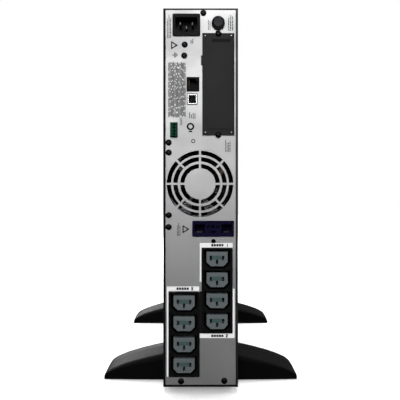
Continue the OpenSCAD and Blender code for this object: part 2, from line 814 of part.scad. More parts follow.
grille_pitch = 5.2;
module front_bezel() {
    color("#1a1b1e") {
        difference() {
            front_shell(bezel_low_z, bezel_top_z, face_y);
            for (i = [-7:7], row = [0:2])
                block([i * grille_pitch - 1.7, face_y - 4, 236 + row * 33],
                    [i * grille_pitch + 1.7, face_y + 1, 265 + row * 33]);
            for (i = [-7:7])
                block([i * grille_pitch - 1.7, face_y - 4, 24], [i * grille_pitch + 1.7, face_y + 1, 52]);
            for (z = [bezel_low_z + 12, 120, 224])
                block([-bezel_half_w - 1, face_y - 1, z], [bezel_half_w + 1, face_y + 1, z + 1.2]);
        }
        for (s = [-1, 1], z = [70, 150, 290])
            block([s * 38 - 3, door_y + 2.6, z], [s * 38 + 3, face_y - bezel_t + eps, z + 2]);
    }
}

module display_panel() {
    color("#1a1b1e") difference() {
        union() {
            front_shell(bezel_top_z + 0.5, z_top + 0.4, trim_y);
            for (s = [-1, 1]) block([s * 36 - 3, frame_y + sheet_t, 356], [s * 36 + 3, trim_y - 1, 359]);
        }
        bar_y(head_at, turret_r + gap, trim_y - 5, trim_y + 1);
    }
}

// ---------------------------------------------------------------- display head
module display_housing() {
    back_y = head_y;
    rim_y = trim_y - bezel_t - gap;
    color("#222327") difference() {
        union() {
            deep(head_at, back_y, faceplate_y) soft_rect([head_w, head_w], head_r);
            bar_y(head_at, turret_r, rim_y - 4, back_y + eps);
            bar_y(head_at, turret_r + 3, rim_y - 4, rim_y);
        }
        deep(head_at, back_y + 2, faceplate_y + 1) soft_rect([head_w - 4, head_w - 4], head_r - 2);
        bar_y(head_at, turret_r - 2.5, rim_y - 5, back_y + 3);
    }
}

button_places = [["escape", -22.5], ["down", -12.5], ["up", 12.5], ["enter", 22.5]];
module display_faceplate() {
    color("#101114") difference() {
        deep(head_at, faceplate_y, faceplate_y + faceplate_t) soft_rect([head_w, head_w], head_r);
        deep(window_at, faceplate_y - 1, face_y) soft_rect(window_size, 2);
        bar_y([0, button_z], power_r + gap, faceplate_y - 1, face_y);
        for (b = button_places)
            deep([b[1], button_z], faceplate_y - 1, face_y)
                soft_rect(small_button + 2 * [gap, gap], 1.5);
        for (i = [-1.5:1.5]) bar_y([i * 8, head_at.y - 8], 0.9, faceplate_y - 1, face_y);
    }
}

module display_window() {
    color("#31444f") deep(window_at, faceplate_y + 0.4, faceplate_y + faceplate_t)
        soft_rect(window_size - [0.1, 0.1], 1.95);
}

lcd_y = faceplate_y - 3.4;
module lcd_panel() {
    color("#8fb4a8") panel_block(window_at, [49, 31], lcd_y, faceplate_y - 0.4);
}

display_board_y = lcd_y - 1.7;
module display_board() {
    color("#1f5c35") {
        panel_block(head_at, [54, 54], display_board_y, display_board_y + board_t);
        for (b = concat(button_places, [["power", 0]]))
            panel_block([b[1], button_z], [6, 6], display_board_y + board_t - eps, faceplate_y - 2.6);
        for (i = [-1.5:1.5])
            bar_y([i * 8, head_at.y - 8], 0.8, display_board_y + board_t - eps, faceplate_y + faceplate_t);
    }
}

cap_back_y = faceplate_y - 2.4 + button_travel;
module small_cap(x) {
    color("#2c2d31") deep([x, button_z], cap_back_y, face_y) soft_rect(small_button, 1.2);
}
module power_button() {
    color("#d5d7d9") bar_y([0, button_z], power_r, cap_back_y, face_y);
}
module escape_button() { small_cap(button_places[0][1]); }
module down_button() { small_cap(button_places[1][1]); }
module up_button() { small_cap(button_places[2][1]); }
module enter_button() { small_cap(button_places[3][1]); }

// ---------------------------------------------------------------- tower feet
foot_slices = 14;
foot_in_x = half_w + gap;
foot_reach = foot_span / 2 - foot_in_x;
tongue_h = z_low - gap;
foot_power = 0.55;     // bend of the ridge as it falls to the tip
shoulder = 0.82;       // height of the upright faces, as a share of the ridge
foot_taper = 2;        // how far the upright faces draw in at the tip
function foot_ridge(u) = foot_tip_h + (foot_h - foot_tip_h) * pow(1 - u, foot_power);
function foot_half(u) = foot_d / 2 - foot_taper * u * u;

// Cross-section of a foot at a share u of the way out to its tip
module foot_slice(u) {
    h = foot_ridge(u);
    d = foot_half(u);
    translate([foot_in_x + u * foot_reach - eps, 0, 0]) rotate([90, 0, 90]) linear_extrude(eps)
        polygon([[-d, 0], [-d, shoulder * h], [-4, h], [4, h], [d, shoulder * h], [d, 0]]);
}

module foot_half_body() {
    hull() for (i = [0:foot_slices]) foot_slice(1 - pow(1 - i / foot_slices, 2));
    block([gap, -foot_d / 2 + 4, 0], [foot_in_x + 2, foot_d / 2 - 4, tongue_h]);
}

module foot(at, side) {
    color("#17181a") translate([0, rear_y + at, 0]) mirror([side < 0 ? 1 : 0, 0, 0]) foot_half_body();
}
module foot_rear_left() { foot(rear_foot_at, -1); }
module foot_rear_right() { foot(rear_foot_at, 1); }
module foot_front_left() { foot(front_foot_at, -1); }
module foot_front_right() { foot(front_foot_at, 1); }

chassis_tray();
side_cover();
case_screws();
rear_panel();
bay_partition();
front_frame();
display_panel();
circuit_boards();
board_standoffs();
heatsinks();
power_transistors();
capacitors();
relays();
filter_choke();
transformer_core();
transformer_coil();
transformer_bracket();
fan_frame();
fan_rotor();
inlet_housing();
inlet_pins();
breaker_body();
breaker_button();
outlet_block_left();
outlet_block_right();
outlet_cores();
outlet_contacts();
serial_jack();
usb_shell();
usb_insert();
terminal_header();
terminal_plug();
extension_socket();
extension_contacts();
slot_cage();
slot_cover();
slot_cover_screws();
battery_socket();
battery_tray();
battery_blocks();
battery_leads();
battery_plug();
battery_strap();
battery_door();
door_thumbscrews();
front_bezel();
display_housing();
display_faceplate();
display_window();
display_board();
lcd_panel();
power_button();
escape_button();
down_button();
up_button();
enter_button();
foot_rear_left();
foot_rear_right();
foot_front_left();
foot_front_right();
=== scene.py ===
"""Looks of a rack and tower power supply that stands on its two tower feet.

Sizes are in metres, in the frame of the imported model: the connector panel faces -Y, the bezel
and the display face +Y, and the floor is Z = 0. Places come from the boxes of the CAD nodes.
"""

import json
import logging
import math
import random
from dataclasses import dataclass, field
from enum import Enum
from typing import Iterable, Sequence

import bmesh
import bpy
from mathutils import Matrix, Vector

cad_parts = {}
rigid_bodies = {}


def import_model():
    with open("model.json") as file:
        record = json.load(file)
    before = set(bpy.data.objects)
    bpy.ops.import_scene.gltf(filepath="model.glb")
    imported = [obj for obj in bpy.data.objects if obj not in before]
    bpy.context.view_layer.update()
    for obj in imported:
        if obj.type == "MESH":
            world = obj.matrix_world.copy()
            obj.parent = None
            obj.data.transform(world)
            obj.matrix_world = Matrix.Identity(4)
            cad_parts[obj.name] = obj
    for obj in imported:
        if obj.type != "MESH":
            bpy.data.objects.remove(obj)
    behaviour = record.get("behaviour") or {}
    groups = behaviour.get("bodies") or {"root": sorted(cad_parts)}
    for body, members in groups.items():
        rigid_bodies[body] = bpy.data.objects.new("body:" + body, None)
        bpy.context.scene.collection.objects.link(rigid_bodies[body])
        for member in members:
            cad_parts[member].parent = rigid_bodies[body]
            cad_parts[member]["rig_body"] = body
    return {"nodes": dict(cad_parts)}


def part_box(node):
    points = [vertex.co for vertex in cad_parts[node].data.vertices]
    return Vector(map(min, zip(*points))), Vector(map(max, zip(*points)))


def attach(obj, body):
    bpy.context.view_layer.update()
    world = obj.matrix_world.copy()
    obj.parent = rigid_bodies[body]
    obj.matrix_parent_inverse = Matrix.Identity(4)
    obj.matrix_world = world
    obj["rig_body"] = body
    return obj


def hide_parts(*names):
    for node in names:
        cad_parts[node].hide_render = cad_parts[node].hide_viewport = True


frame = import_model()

log = logging.getLogger("power_supply")
MM = 0.001
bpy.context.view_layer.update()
Colour = tuple[float, float, float]
Place = tuple[float, float]
REARWARD = Vector((0, -1, 0))
FORWARD = Vector((0, 1, 0))
UPWARD = Vector((0, 0, 1))
DOWNWARD = Vector((0, 0, -1))
LEFTWARD = Vector((-1, 0, 0))
RIGHTWARD = Vector((1, 0, 0))
WELD = 1e-7


def mm(*lengths: float) -> tuple[float, ...]:
    """Gives lengths in metres from millimetres."""
    return tuple(length * MM for length in lengths)


def section(*points: Place) -> list[Place]:
    """Gives a half section in metres from radii and distances in millimetres."""
    return [mm(*point) for point in points]


class Axis(Enum):
    """The three directions of the frame, by their index in a point."""

    X = 0
    Y = 1
    Z = 2


# ------------------------------------------------------------------ finishes
def map_range(tree: bpy.types.NodeTree, source: bpy.types.NodeSocket, span: Place,
              result: Place) -> bpy.types.NodeSocket:
    """Adds a node that maps one span to another, clamped.

    Args:
        tree: the node tree.
        source: the socket that is read.
        span: the values that are mapped.
        result: what they become.

    Returns:
        The mapped socket.
    """
    node = tree.nodes.new("ShaderNodeMapRange")
    tree.links.new(source, node.inputs["Value"])
    for key, value in zip(("From Min", "From Max", "To Min", "To Max"), (*span, *result)):
        node.inputs[key].default_value = value
    return node.outputs[0]


class NodeBoard:
    """The node tree of one material, with short calls for what the finishes share."""

    def __init__(self, name: str) -> None:
        """Starts a material with a principled shader and an output.

        Args:
            name: the material's name.
        """
        self.material = bpy.data.materials.new(name)
        self.material.use_nodes = True
        self.tree = self.material.node_tree
        self.tree.nodes.clear()
        self.shader = self.tree.nodes.new("ShaderNodeBsdfPrincipled")
        output = self.tree.nodes.new("ShaderNodeOutputMaterial")
        self.tree.links.new(self.shader.outputs[0], output.inputs["Surface"])
        self.place = self.tree.nodes.new("ShaderNodeTexCoord").outputs["Object"]

    def set(self, **sockets: float | Sequence[float]) -> None:
        """Sets uniform values on the shader's own sockets, written with _ for a space."""
        for key, value in sockets.items():
            self.shader.inputs[key.replace("_", " ")].default_value = value

    def feed(self, source: bpy.types.NodeSocket, socket: str) -> None:
        """Links an output to one of the shader's sockets."""
        self.tree.links.new(source, self.shader.inputs[socket])

    def stretched(self, scale: Sequence[float]) -> bpy.types.NodeSocket:
        """Gives object coordinates scaled along each axis.

        Args:
            scale: how many times closer the pattern lies along X, Y and Z.

        Returns:
            The vector socket.
        """
        mapping = self.tree.nodes.new("ShaderNodeMapping")
        self.tree.links.new(self.place, mapping.inputs["Vector"])
        mapping.inputs["Scale"].default_value = scale
        return mapping.outputs[0]

    def noise(self, scale: float, detail: float = 3.0, rough: float = 0.55,
              stretch: Sequence[float] | None = None) -> bpy.types.NodeSocket:
        """Adds a noise texture.

        Args:
            scale: features per metre.
            detail: number of octaves.
            rough: strength of the finer octaves.
            stretch: scale along each axis, for a brushed look.

        Returns:
            The factor socket.
        """
        node = self.tree.nodes.new("ShaderNodeTexNoise")
        self.tree.links.new(self.stretched(stretch) if stretch else self.place, node.inputs["Vector"])
        node.inputs["Scale"].default_value = scale
        node.inputs["Detail"].default_value = detail
        node.inputs["Roughness"].default_value = rough
        return node.outputs[0]

    def cells(self, scale: float, feature: str = "F1") -> bpy.types.NodeSocket:
        """Adds a Voronoi texture and gives its distance, or its colour for feature CELL."""
        node = self.tree.nodes.new("ShaderNodeTexVoronoi")
        self.tree.links.new(self.place, node.inputs["Vector"])
        node.inputs["Scale"].default_value = scale
        if feature == "CELL":
            return node.outputs["Color"]
        node.feature = feature
        return node.outputs["Distance"]

    def spread(self, source: bpy.types.NodeSocket, low: float, high: float,
               floor: float = 0.3, ceiling: float = 0.7) -> bpy.types.NodeSocket:
        """Maps a factor's span floor..ceiling to low..high, clamped.

        Returns:
            The mapped socket.
        """
        return map_range(self.tree, source, (floor, ceiling), (low, high))

    def blend(self, factor: bpy.types.NodeSocket, first: Colour | bpy.types.NodeSocket,
              second: Colour | bpy.types.NodeSocket) -> bpy.types.NodeSocket:
        """Mixes two colours by a factor.

        Args:
            factor: 0 gives the first colour and 1 the second.
            first: a colour or a colour socket.
            second: a colour or a colour socket.

        Returns:
            The colour socket.
        """
        node = self.tree.nodes.new("ShaderNodeMix")
        node.data_type = "RGBA"
        self.tree.links.new(factor, node.inputs[0])
        for socket, value in ((node.inputs[6], first), (node.inputs[7], second)):
            if isinstance(value, bpy.types.NodeSocket):
                self.tree.links.new(value, socket)
            else:
                socket.default_value = (*value, 1.0)
        return node.outputs[2]

    def bump(self, height: bpy.types.NodeSocket, depth: float,
             below: bpy.types.NodeSocket | None = None) -> bpy.types.NodeSocket:
        """Turns a height into a normal.

        Args:
            height: the factor socket that gives the height.
            depth: what a factor of 1 stands for, in metres.
            below: a normal to build upon.

        Returns:
            The normal socket.
        """
        node = self.tree.nodes.new("ShaderNodeBump")
        node.inputs["Strength"].default_value = 1.0
        node.inputs["Distance"].default_value = depth
        self.tree.links.new(height, node.inputs["Height"])
        if below is not None:
            self.tree.links.new(below, node.inputs["Normal"])
        return node.outputs[0]

    def edges(self, radius: float, gain: float = 3.0) -> bpy.types.NodeSocket:
        """Gives a mask that is 1 on sharp edges and 0 on faces.

        Args:
            radius: how far from an edge the mask reaches, in metres.
            gain: how quickly it grows towards the edge.

        Returns:
            The factor socket.
        """
        rounded = self.tree.nodes.new("ShaderNodeBevel")
        rounded.samples = 4
        rounded.inputs["Radius"].default_value = radius
        geometry = self.tree.nodes.new("ShaderNodeNewGeometry")
        dot = self.tree.nodes.new("ShaderNodeVectorMath")
        dot.operation = "DOT_PRODUCT"
        self.tree.links.new(rounded.outputs[0], dot.inputs[0])
        self.tree.links.new(geometry.outputs["Normal"], dot.inputs[1])
        return self.spread(dot.outputs["Value"], 1.0, 0.0, 1.0 - 1.0 / gain, 1.0)


def lighter(tone: Colour, share: float) -> Colour:
    """Makes a colour brighter by a share of itself, or darker by a negative share."""
    return tuple(min(1.0, c * (1.0 + share)) for c in tone)


@dataclass(frozen=True)
class Finish:
    """A surface finish: its name, the record's material slot and its main colour."""

    name: str
    slot: str
    tone: Colour

    def material(self) -> bpy.types.Material:
        """Makes the material once and gives it again after that."""
        known = f"{self.name}_finish"
        found = bpy.data.materials.get(known)
        if found is None:
            board = NodeBoard(known)
            self.paint(board)
            found = board.material
            found.diffuse_color = (*self.tone, 1.0)
        return found

    def paint(self, board: NodeBoard) -> None:
        """Builds the finish's nodes. Each kind of finish says how.

        Args:
            board: the material's node tree.
        """
        raise NotImplementedError


@dataclass(frozen=True)
class Moulding(Finish):
    """Moulded plastic with a spark-eroded grain and lighter edges, partly rubbed wear and partly painted
    highlight.
    """

    roughness: float = 0.42
    grain: float = 2200.0
    grain_depth: float = 0.00002
    mottle: float = 0.10
    # How much lighter the edges are made: partly rubbing wear, partly painted highlight where edges catch
    # light.
    edge_rub_and_highlight: float = 0.5
    gloss: float = 0.04

    def paint(self, board: NodeBoard) -> None:
        """Builds the grain, the faint mottling and the lighter edges, partly rubbed wear and partly painted
        highlight.

        Args:
            board: the material's node tree.
        """
        cloud = board.noise(38.0, 4.0)
        base = board.blend(cloud, lighter(self.tone, -self.mottle), lighter(self.tone, 0.3 * self.mottle))
        # Painted highlight and wear: every edge is blended towards a lighter colour.
        rubbed_and_lit_edges = board.blend(board.edges(0.0006), base, lighter(self.tone, self.edge_rub_and_highlight))
        board.feed(rubbed_and_lit_edges, "Base Color")
        fine = board.noise(420.0, 3.0)
        board.feed(board.spread(fine, self.roughness - 0.05, self.roughness + 0.09), "Roughness")
        board.feed(board.bump(board.noise(self.grain, 2.0, 0.5), self.grain_depth), "Normal")
        board.set(Specular_IOR_Level=self.gloss)


@dataclass(frozen=True)
class PowderCoat(Finish):
    """Powder-coated sheet steel: orange peel, fine specks and lighter edges, partly worn and partly painted
    highlight.
    """

    roughness: float = 0.45
    peel: float = 900.0
    peel_depth: float = 0.00003
    speck: float = 0.12
    # Colour that the edges are blended towards: partly worn paint, partly painted highlight.
    edge_wear_and_highlight: Colour = (0.05, 0.05, 0.052)
    edge_wear_and_highlight_share: float = 0.2
    flake: float = 0.0
    gloss: float = 0.035

    def paint(self, board: NodeBoard) -> None:
        """Builds the peel, the specks, the handling marks and the lighter edges, partly wear and partly
        painted highlight.

        Args:
            board: the material's node tree.
        """
        specks = board.spread(board.noise(1500.0, 2.0, 0.6), 0.0, 1.0, 0.42, 0.66)
        base = board.blend(specks, lighter(self.tone, -self.speck), lighter(self.tone, self.speck * 0.35))
        marks = board.spread(board.noise(9.0, 5.0, 0.62), 0.0, 0.5, 0.45, 0.75)
        handled = board.blend(marks, base, lighter(self.tone, -0.10))
        # Painted highlight and wear: patches along the edges are blended towards a lighter colour.
        edge_scuff_and_highlight = board.tree.nodes.new("ShaderNodeMath")
        edge_scuff_and_highlight.operation = "MULTIPLY"
        board.tree.links.new(board.edges(0.0004, 2.5), edge_scuff_and_highlight.inputs[0])
        board.tree.links.new(board.spread(board.noise(260.0, 4.0), 0.0, self.edge_wear_and_highlight_share * 2, 0.4, 0.7),
                             edge_scuff_and_highlight.inputs[1])
        board.feed(board.blend(edge_scuff_and_highlight.outputs[0], handled, self.edge_wear_and_highlight), "Base Color")
        smears = board.noise(24.0, 4.0, 0.6)
        board.feed(board.spread(smears, self.roughness - 0.05, self.roughness + 0.08), "Roughness")
        board.feed(board.bump(board.noise(self.peel, 2.0, 0.45), self.peel_depth), "Normal")
        board.set(Specular_IOR_Level=self.gloss, Metallic=self.flake)


@dataclass(frozen=True)
class Metalwork(Finish):
    """Bare or plated metal, brushed along one direction."""

    roughness: float = 0.3
    stretch: tuple[float, float, float] = (1.0, 1.0, 1.0)
    lines: float = 900.0
    line_depth: float = 0.000012
    tarnish: float = 0.12

    def paint(self, board: NodeBoard) -> None:
        """Builds the brushing, the plating's cloudiness and a dull film in patches.

        Args:
            board: the material's node tree.
        """
        grain = board.noise(self.lines, 3.0, 0.6, self.stretch)
        film = board.noise(55.0, 4.0, 0.6)
        base = board.blend(film, lighter(self.tone, -self.tarnish), lighter(self.tone, 0.06))
        board.feed(base, "Base Color")
        board.feed(board.spread(grain, self.roughness - 0.08, self.roughness + 0.12), "Roughness")
        board.feed(board.bump(grain, self.line_depth), "Normal")
        board.set(Metallic=1.0)


@dataclass(frozen=True)
class Galvanised(Finish):
    """Zinc-plated sheet with a faint spangle."""

    roughness: float = 0.34

    def paint(self, board: NodeBoard) -> None:
        """Builds the spangle and the rolling lines.

        Args:
            board: the material's node tree.
        """
        spangle = board.noise(140.0, 2.0, 0.4)
        crystals = board.blend(board.cells(170.0), lighter(self.tone, -0.16), lighter(self.tone, 0.12))
        board.feed(board.blend(spangle, crystals, self.tone), "Base Color")
        board.feed(board.spread(board.cells(170.0), self.roughness - 0.07, self.roughness + 0.12, 0.1, 0.7),
                   "Roughness")
        board.feed(board.bump(board.noise(700.0, 2.0, 0.5, (1.0, 0.06, 1.0)), 0.00001), "Normal")
        board.set(Metallic=1.0)


@dataclass(frozen=True)
class Ink(Finish):
    """Screen-printed ink, a little uneven and matt, which can be given a painted glow."""

    roughness: float = 0.6
    # Emission of the ink: a painted glow, since print is no lamp.
    glow: float = 0.0

    def paint(self, board: NodeBoard) -> None:
        """Builds the ink's slight unevenness and its painted glow.

        Args:
            board: the material's node tree.
        """
        mesh = board.noise(2600.0, 2.0, 0.5)
        board.feed(board.blend(mesh, lighter(self.tone, -0.12), lighter(self.tone, 0.08)), "Base Color")
        board.feed(board.spread(mesh, self.roughness - 0.06, self.roughness + 0.1), "Roughness")
        board.feed(board.bump(mesh, 0.000006), "Normal")
        # Emission here is painted light: the ink glows when glow is above 0.
        board.set(Specular_IOR_Level=0.05, Emission_Color=(*self.tone, 1.0), Emission_Strength=self.glow)


@dataclass(frozen=True)
class SolderMask(Finish):
    """Circuit board lacquer over copper tracks."""

    track: Colour = (0.05, 0.26, 0.1)

    def paint(self, board: NodeBoard) -> None:
        """Builds tracks that show through the lacquer, and its glossy skin.

        Args:
            board: the material's node tree.
        """
        node = board.tree.nodes.new("ShaderNodeTexVoronoi")
        node.distance = "MANHATTAN"
        node.feature = "F2"
        node.inputs["Scale"].default_value = 110.0
        board.tree.links.new(board.place, node.inputs["Vector"])
        tracks = board.spread(node.outputs["Distance"], 0.0, 1.0, 0.52, 0.56)
        board.feed(board.blend(tracks, self.tone, self.track), "Base Color")
        board.feed(board.spread(board.noise(300.0, 3.0), 0.22, 0.38), "Roughness")
        board.feed(board.bump(tracks, 0.00003), "Normal")


@dataclass(frozen=True)
class Winding(Finish):
    """Lacquered wire or tape laid in close turns."""

    turns: float = 900.0
    across: Axis = Axis.Z
    roughness: float = 0.3

    def paint(self, board: NodeBoard) -> None:
        """Builds the turns as bands across the chosen axis.

        Args:
            board: the material's node tree.
        """
        wave = board.tree.nodes.new("ShaderNodeTexWave")
        wave.bands_direction = self.across.name
        wave.inputs["Scale"].default_value = self.turns
        wave.inputs["Distortion"].default_value = 0.6
        wave.inputs["Detail"].default_value = 2.0
        board.tree.links.new(board.place, wave.inputs["Vector"])
        turns = wave.outputs["Fac"]
        board.feed(board.blend(turns, lighter(self.tone, -0.4), lighter(self.tone, 0.1)), "Base Color")
        sheen = board.spread(board.noise(200.0), self.roughness - 0.05, self.roughness + 0.15)
        board.feed(sheen, "Roughness")
        board.feed(board.bump(turns, 0.0002), "Normal")


@dataclass(frozen=True)
class TintedWindow(Finish):
    """Clear hard-coated window with a smoke tint."""

    def paint(self, board: NodeBoard) -> None:
        """Builds the clear plastic and its faint wipe marks.

        Args:
            board: the material's node tree.
        """
        wipes = board.noise(60.0, 4.0, 0.6, (1.0, 1.0, 0.2))
        board.feed(board.blend(wipes, self.tone, lighter(self.tone, 0.1)), "Base Color")
        board.feed(board.spread(wipes, 0.03, 0.10), "Roughness")
        board.set(Transmission_Weight=0.92, IOR=1.49)


@dataclass(frozen=True)
class Lamp(Finish):
    """A small clear lamp, dimly lit."""

    glow: float = 1.2

    def paint(self, board: NodeBoard) -> None:
        """Builds the tinted lens with a soft glow.

        Args:
            board: the material's node tree.
        """
        cloud = board.noise(900.0)
        board.feed(board.blend(cloud, self.tone, lighter(self.tone, 0.2)), "Base Color")
        board.feed(board.spread(cloud, 0.12, 0.25), "Roughness")
        board.set(Emission_Color=(*self.tone, 1.0), Emission_Strength=self.glow)


CASE = PowderCoat("case_paint", "case_paint", (0.011, 0.0111, 0.0117), 0.46, edge_wear_and_highlight=(0.02, 0.02, 0.021),
                  gloss=0.05)
COVER = PowderCoat("cover_paint", "cover_paint", (0.022, 0.0222, 0.024), 0.42, gloss=0.3)
PANEL = PowderCoat("panel_paint", "panel_paint", (0.50, 0.50, 0.505), 0.44, peel_depth=0.000012, speck=0.06,
                   edge_wear_and_highlight=(0.6, 0.6, 0.61), flake=0.62, gloss=0.3)
SLOT_PAINT = PowderCoat("slot_paint", "slot_paint", (0.036, 0.0363, 0.0375), 0.46, gloss=0.06)
TRAY_PAINT = PowderCoat("tray_paint", "tray_paint", (0.05, 0.05, 0.055), 0.5)
ZINC = Galvanised("zinc_plate", "zinc", (0.62, 0.63, 0.65))
BLACK_STEEL = Metalwork("black_oxide", "black_screw", (0.014, 0.014, 0.015), 0.34)
CORE_STEEL = Metalwork("laminations", "core_steel", (0.26, 0.27, 0.29), 0.45, (60.0, 1.0, 1.0), 60.0, 0.0002)
NICKEL = Metalwork("nickel_plate", "plate_metal", (0.72, 0.73, 0.75), 0.24)
ALUMINIUM = Metalwork("extruded_aluminium", "heat_metal", (0.7, 0.71, 0.73), 0.36, (1.0, 0.03, 1.0))
BRASS = Metalwork("contact_brass", "contact_brass", (0.34, 0.25, 0.12), 0.4)
# Inlet blade plating made far darker than nickel: painted shade for blades that sit deep in the inlet.
SHADED_BLADE = Metalwork("blade_plating", "plate_metal", (0.10, 0.10, 0.105), 0.38)
TIN = Metalwork("dull_tin", "contact_brass", (0.05, 0.05, 0.055), 0.5)
STANDOFF = Metalwork("turned_brass", "standoff_brass", (0.8, 0.6, 0.28), 0.26)
FRONT = Moulding("front_plastic", "front_plastic", (0.024, 0.0243, 0.027), 0.42, 1500.0, 0.00003, gloss=0.35)
HEAD = Moulding("head_plastic", "head_plastic", (0.03, 0.031, 0.034), 0.32, gloss=0.4)
SOCKET = Moulding("socket_plastic", "black_plastic", (0.010, 0.0101, 0.0105), 0.36)
FAN_BLACK = Moulding("fan_plastic", "fan_plastic", (0.005, 0.005, 0.0053), 0.5)
JACK = Moulding("jack_plastic", "jack_plastic", (0.003, 0.003, 0.0032), 0.32)
CORE = Moulding("core_plastic", "core_plastic", (0.23, 0.265, 0.27), 0.38, mottle=0.2)
GREEN = Moulding("green_plastic", "green_plastic", (0.005, 0.075, 0.036), 0.4)
BLUE = Moulding("blue_plastic", "blue_plastic", (0.008, 0.006, 0.036), 0.38)
GREY = Moulding("grey_plastic", "grey_plastic", (0.26, 0.27, 0.28), 0.44)
CELL = Moulding("cell_plastic", "cell_plastic", (0.045, 0.047, 0.054), 0.5)
STRAP = Moulding("strap_plastic", "strap_plastic", (0.62, 0.63, 0.64), 0.5)
LEAD = Moulding("lead_plastic", "lead_plastic", (0.42, 0.02, 0.02), 0.38)
RELAY = Moulding("relay_plastic", "relay_plastic", (0.04, 0.17, 0.28), 0.3)
SLEEVE = Moulding("capacitor_sleeve", "capacitor_sleeve", (0.02, 0.025, 0.04), 0.28)
CHIP = Moulding("chip_plastic", "chip_plastic", (0.014, 0.014, 0.015), 0.5)
BUTTON = Moulding("button_plastic", "button_plastic", (0.06, 0.061, 0.065), 0.38)
POWER = Moulding("power_plastic", "power_plastic", (0.5, 0.51, 0.53), 0.36)
FOOT = Moulding("foot_plastic", "foot_plastic", (0.005, 0.0051, 0.0055), 0.52, 1300.0, 0.00002, gloss=0.04)
PAD = Moulding("foot_pad_rubber", "foot_plastic", (0.02, 0.02, 0.02), 0.8)
COIL = Winding("coil_tape", "coil_wrap", (0.2, 0.1, 0.03), 240.0)
CHOKE = Winding("choke_wire", "choke_wire", (0.6, 0.26, 0.07), 420.0, Axis.Y)
MASK = SolderMask("solder_mask", "board_green", (0.012, 0.11, 0.04))
WINDOW = TintedWindow("tinted_window", "window_glass", (0.75, 0.8, 0.82))
LCD = Ink("lcd_glass", "lcd_glass", (0.34, 0.46, 0.40), 0.25)
LAMP = Lamp("status_lamp_lens", "lcd_glass", (0.05, 0.75, 0.2))
TEAL = Ink("shutter_teal", "core_plastic", (0.10, 0.17, 0.165), 0.45)
# White print with a painted glow: it emits light though it is no lamp.
GLOWING_WHITE_INK = Ink("white_ink", "panel_paint", (0.9, 0.9, 0.9), glow=0.45)
BLACK_INK = Ink("black_ink", "panel_paint", (0.02, 0.02, 0.022))
GREY_INK = Ink("grey_ink", "panel_paint", (0.05, 0.051, 0.054))
LABEL = PowderCoat("label_film", "panel_paint", (0.50, 0.50, 0.505), 0.46, peel_depth=0.000004, speck=0.03,
                   edge_wear_and_highlight=(0.6, 0.6, 0.61), flake=0.55, gloss=0.3)


# ------------------------------------------------------------------ mesh work
def bevel(mesh: bmesh.types.BMesh, edges: Iterable[bmesh.types.BMEdge], width: float,
          segments: int = 2) -> None:
    """Rounds edges of a mesh.

    Args:
        mesh: the mesh that is changed.
        edges: its edges to round.
        width: how far the rounding reaches along each face, in metres.
        segments: number of strips across the rounding.
    """
    bmesh.ops.bevel(mesh, geom=list(edges), offset=width, offset_type="OFFSET", segments=segments,
                    profile=0.5, affect="EDGES", clamp_overlap=True, material=-1)


def cube(size: Sequence[float], centre: Sequence[float] = (0, 0, 0)) -> bmesh.types.BMesh:
    """Makes a block of a size about a centre."""
    part = bmesh.new()
    bmesh.ops.create_cube(part, size=1.0)
    bmesh.ops.scale(part, vec=size, verts=part.verts)
    bmesh.ops.translate(part, vec=centre, verts=part.verts)
    return part


def creases(mesh: bmesh.types.BMesh, degrees: float = 38.0) -> list[bmesh.types.BMEdge]:
    """Gives the edges whose two faces meet at more than an angle."""
    return [e for e in mesh.edges
            if len(e.link_faces) == 2 and e.calc_face_angle(0.0) > math.radians(degrees)]


def evaluated(holder: bpy.types.Object) -> bpy.types.Mesh:
    """Gives an object's mesh with its modifiers applied."""
    bpy.context.view_layer.update()
    return bpy.data.meshes.new_from_object(holder.evaluated_get(bpy.context.evaluated_depsgraph_get()))


def linked(name: str, data: bpy.types.ID) -> bpy.types.Object:
    """Makes an object and links it into the scene."""
    holder = bpy.data.objects.new(name, data)
    bpy.context.scene.collection.objects.link(holder)
    return holder


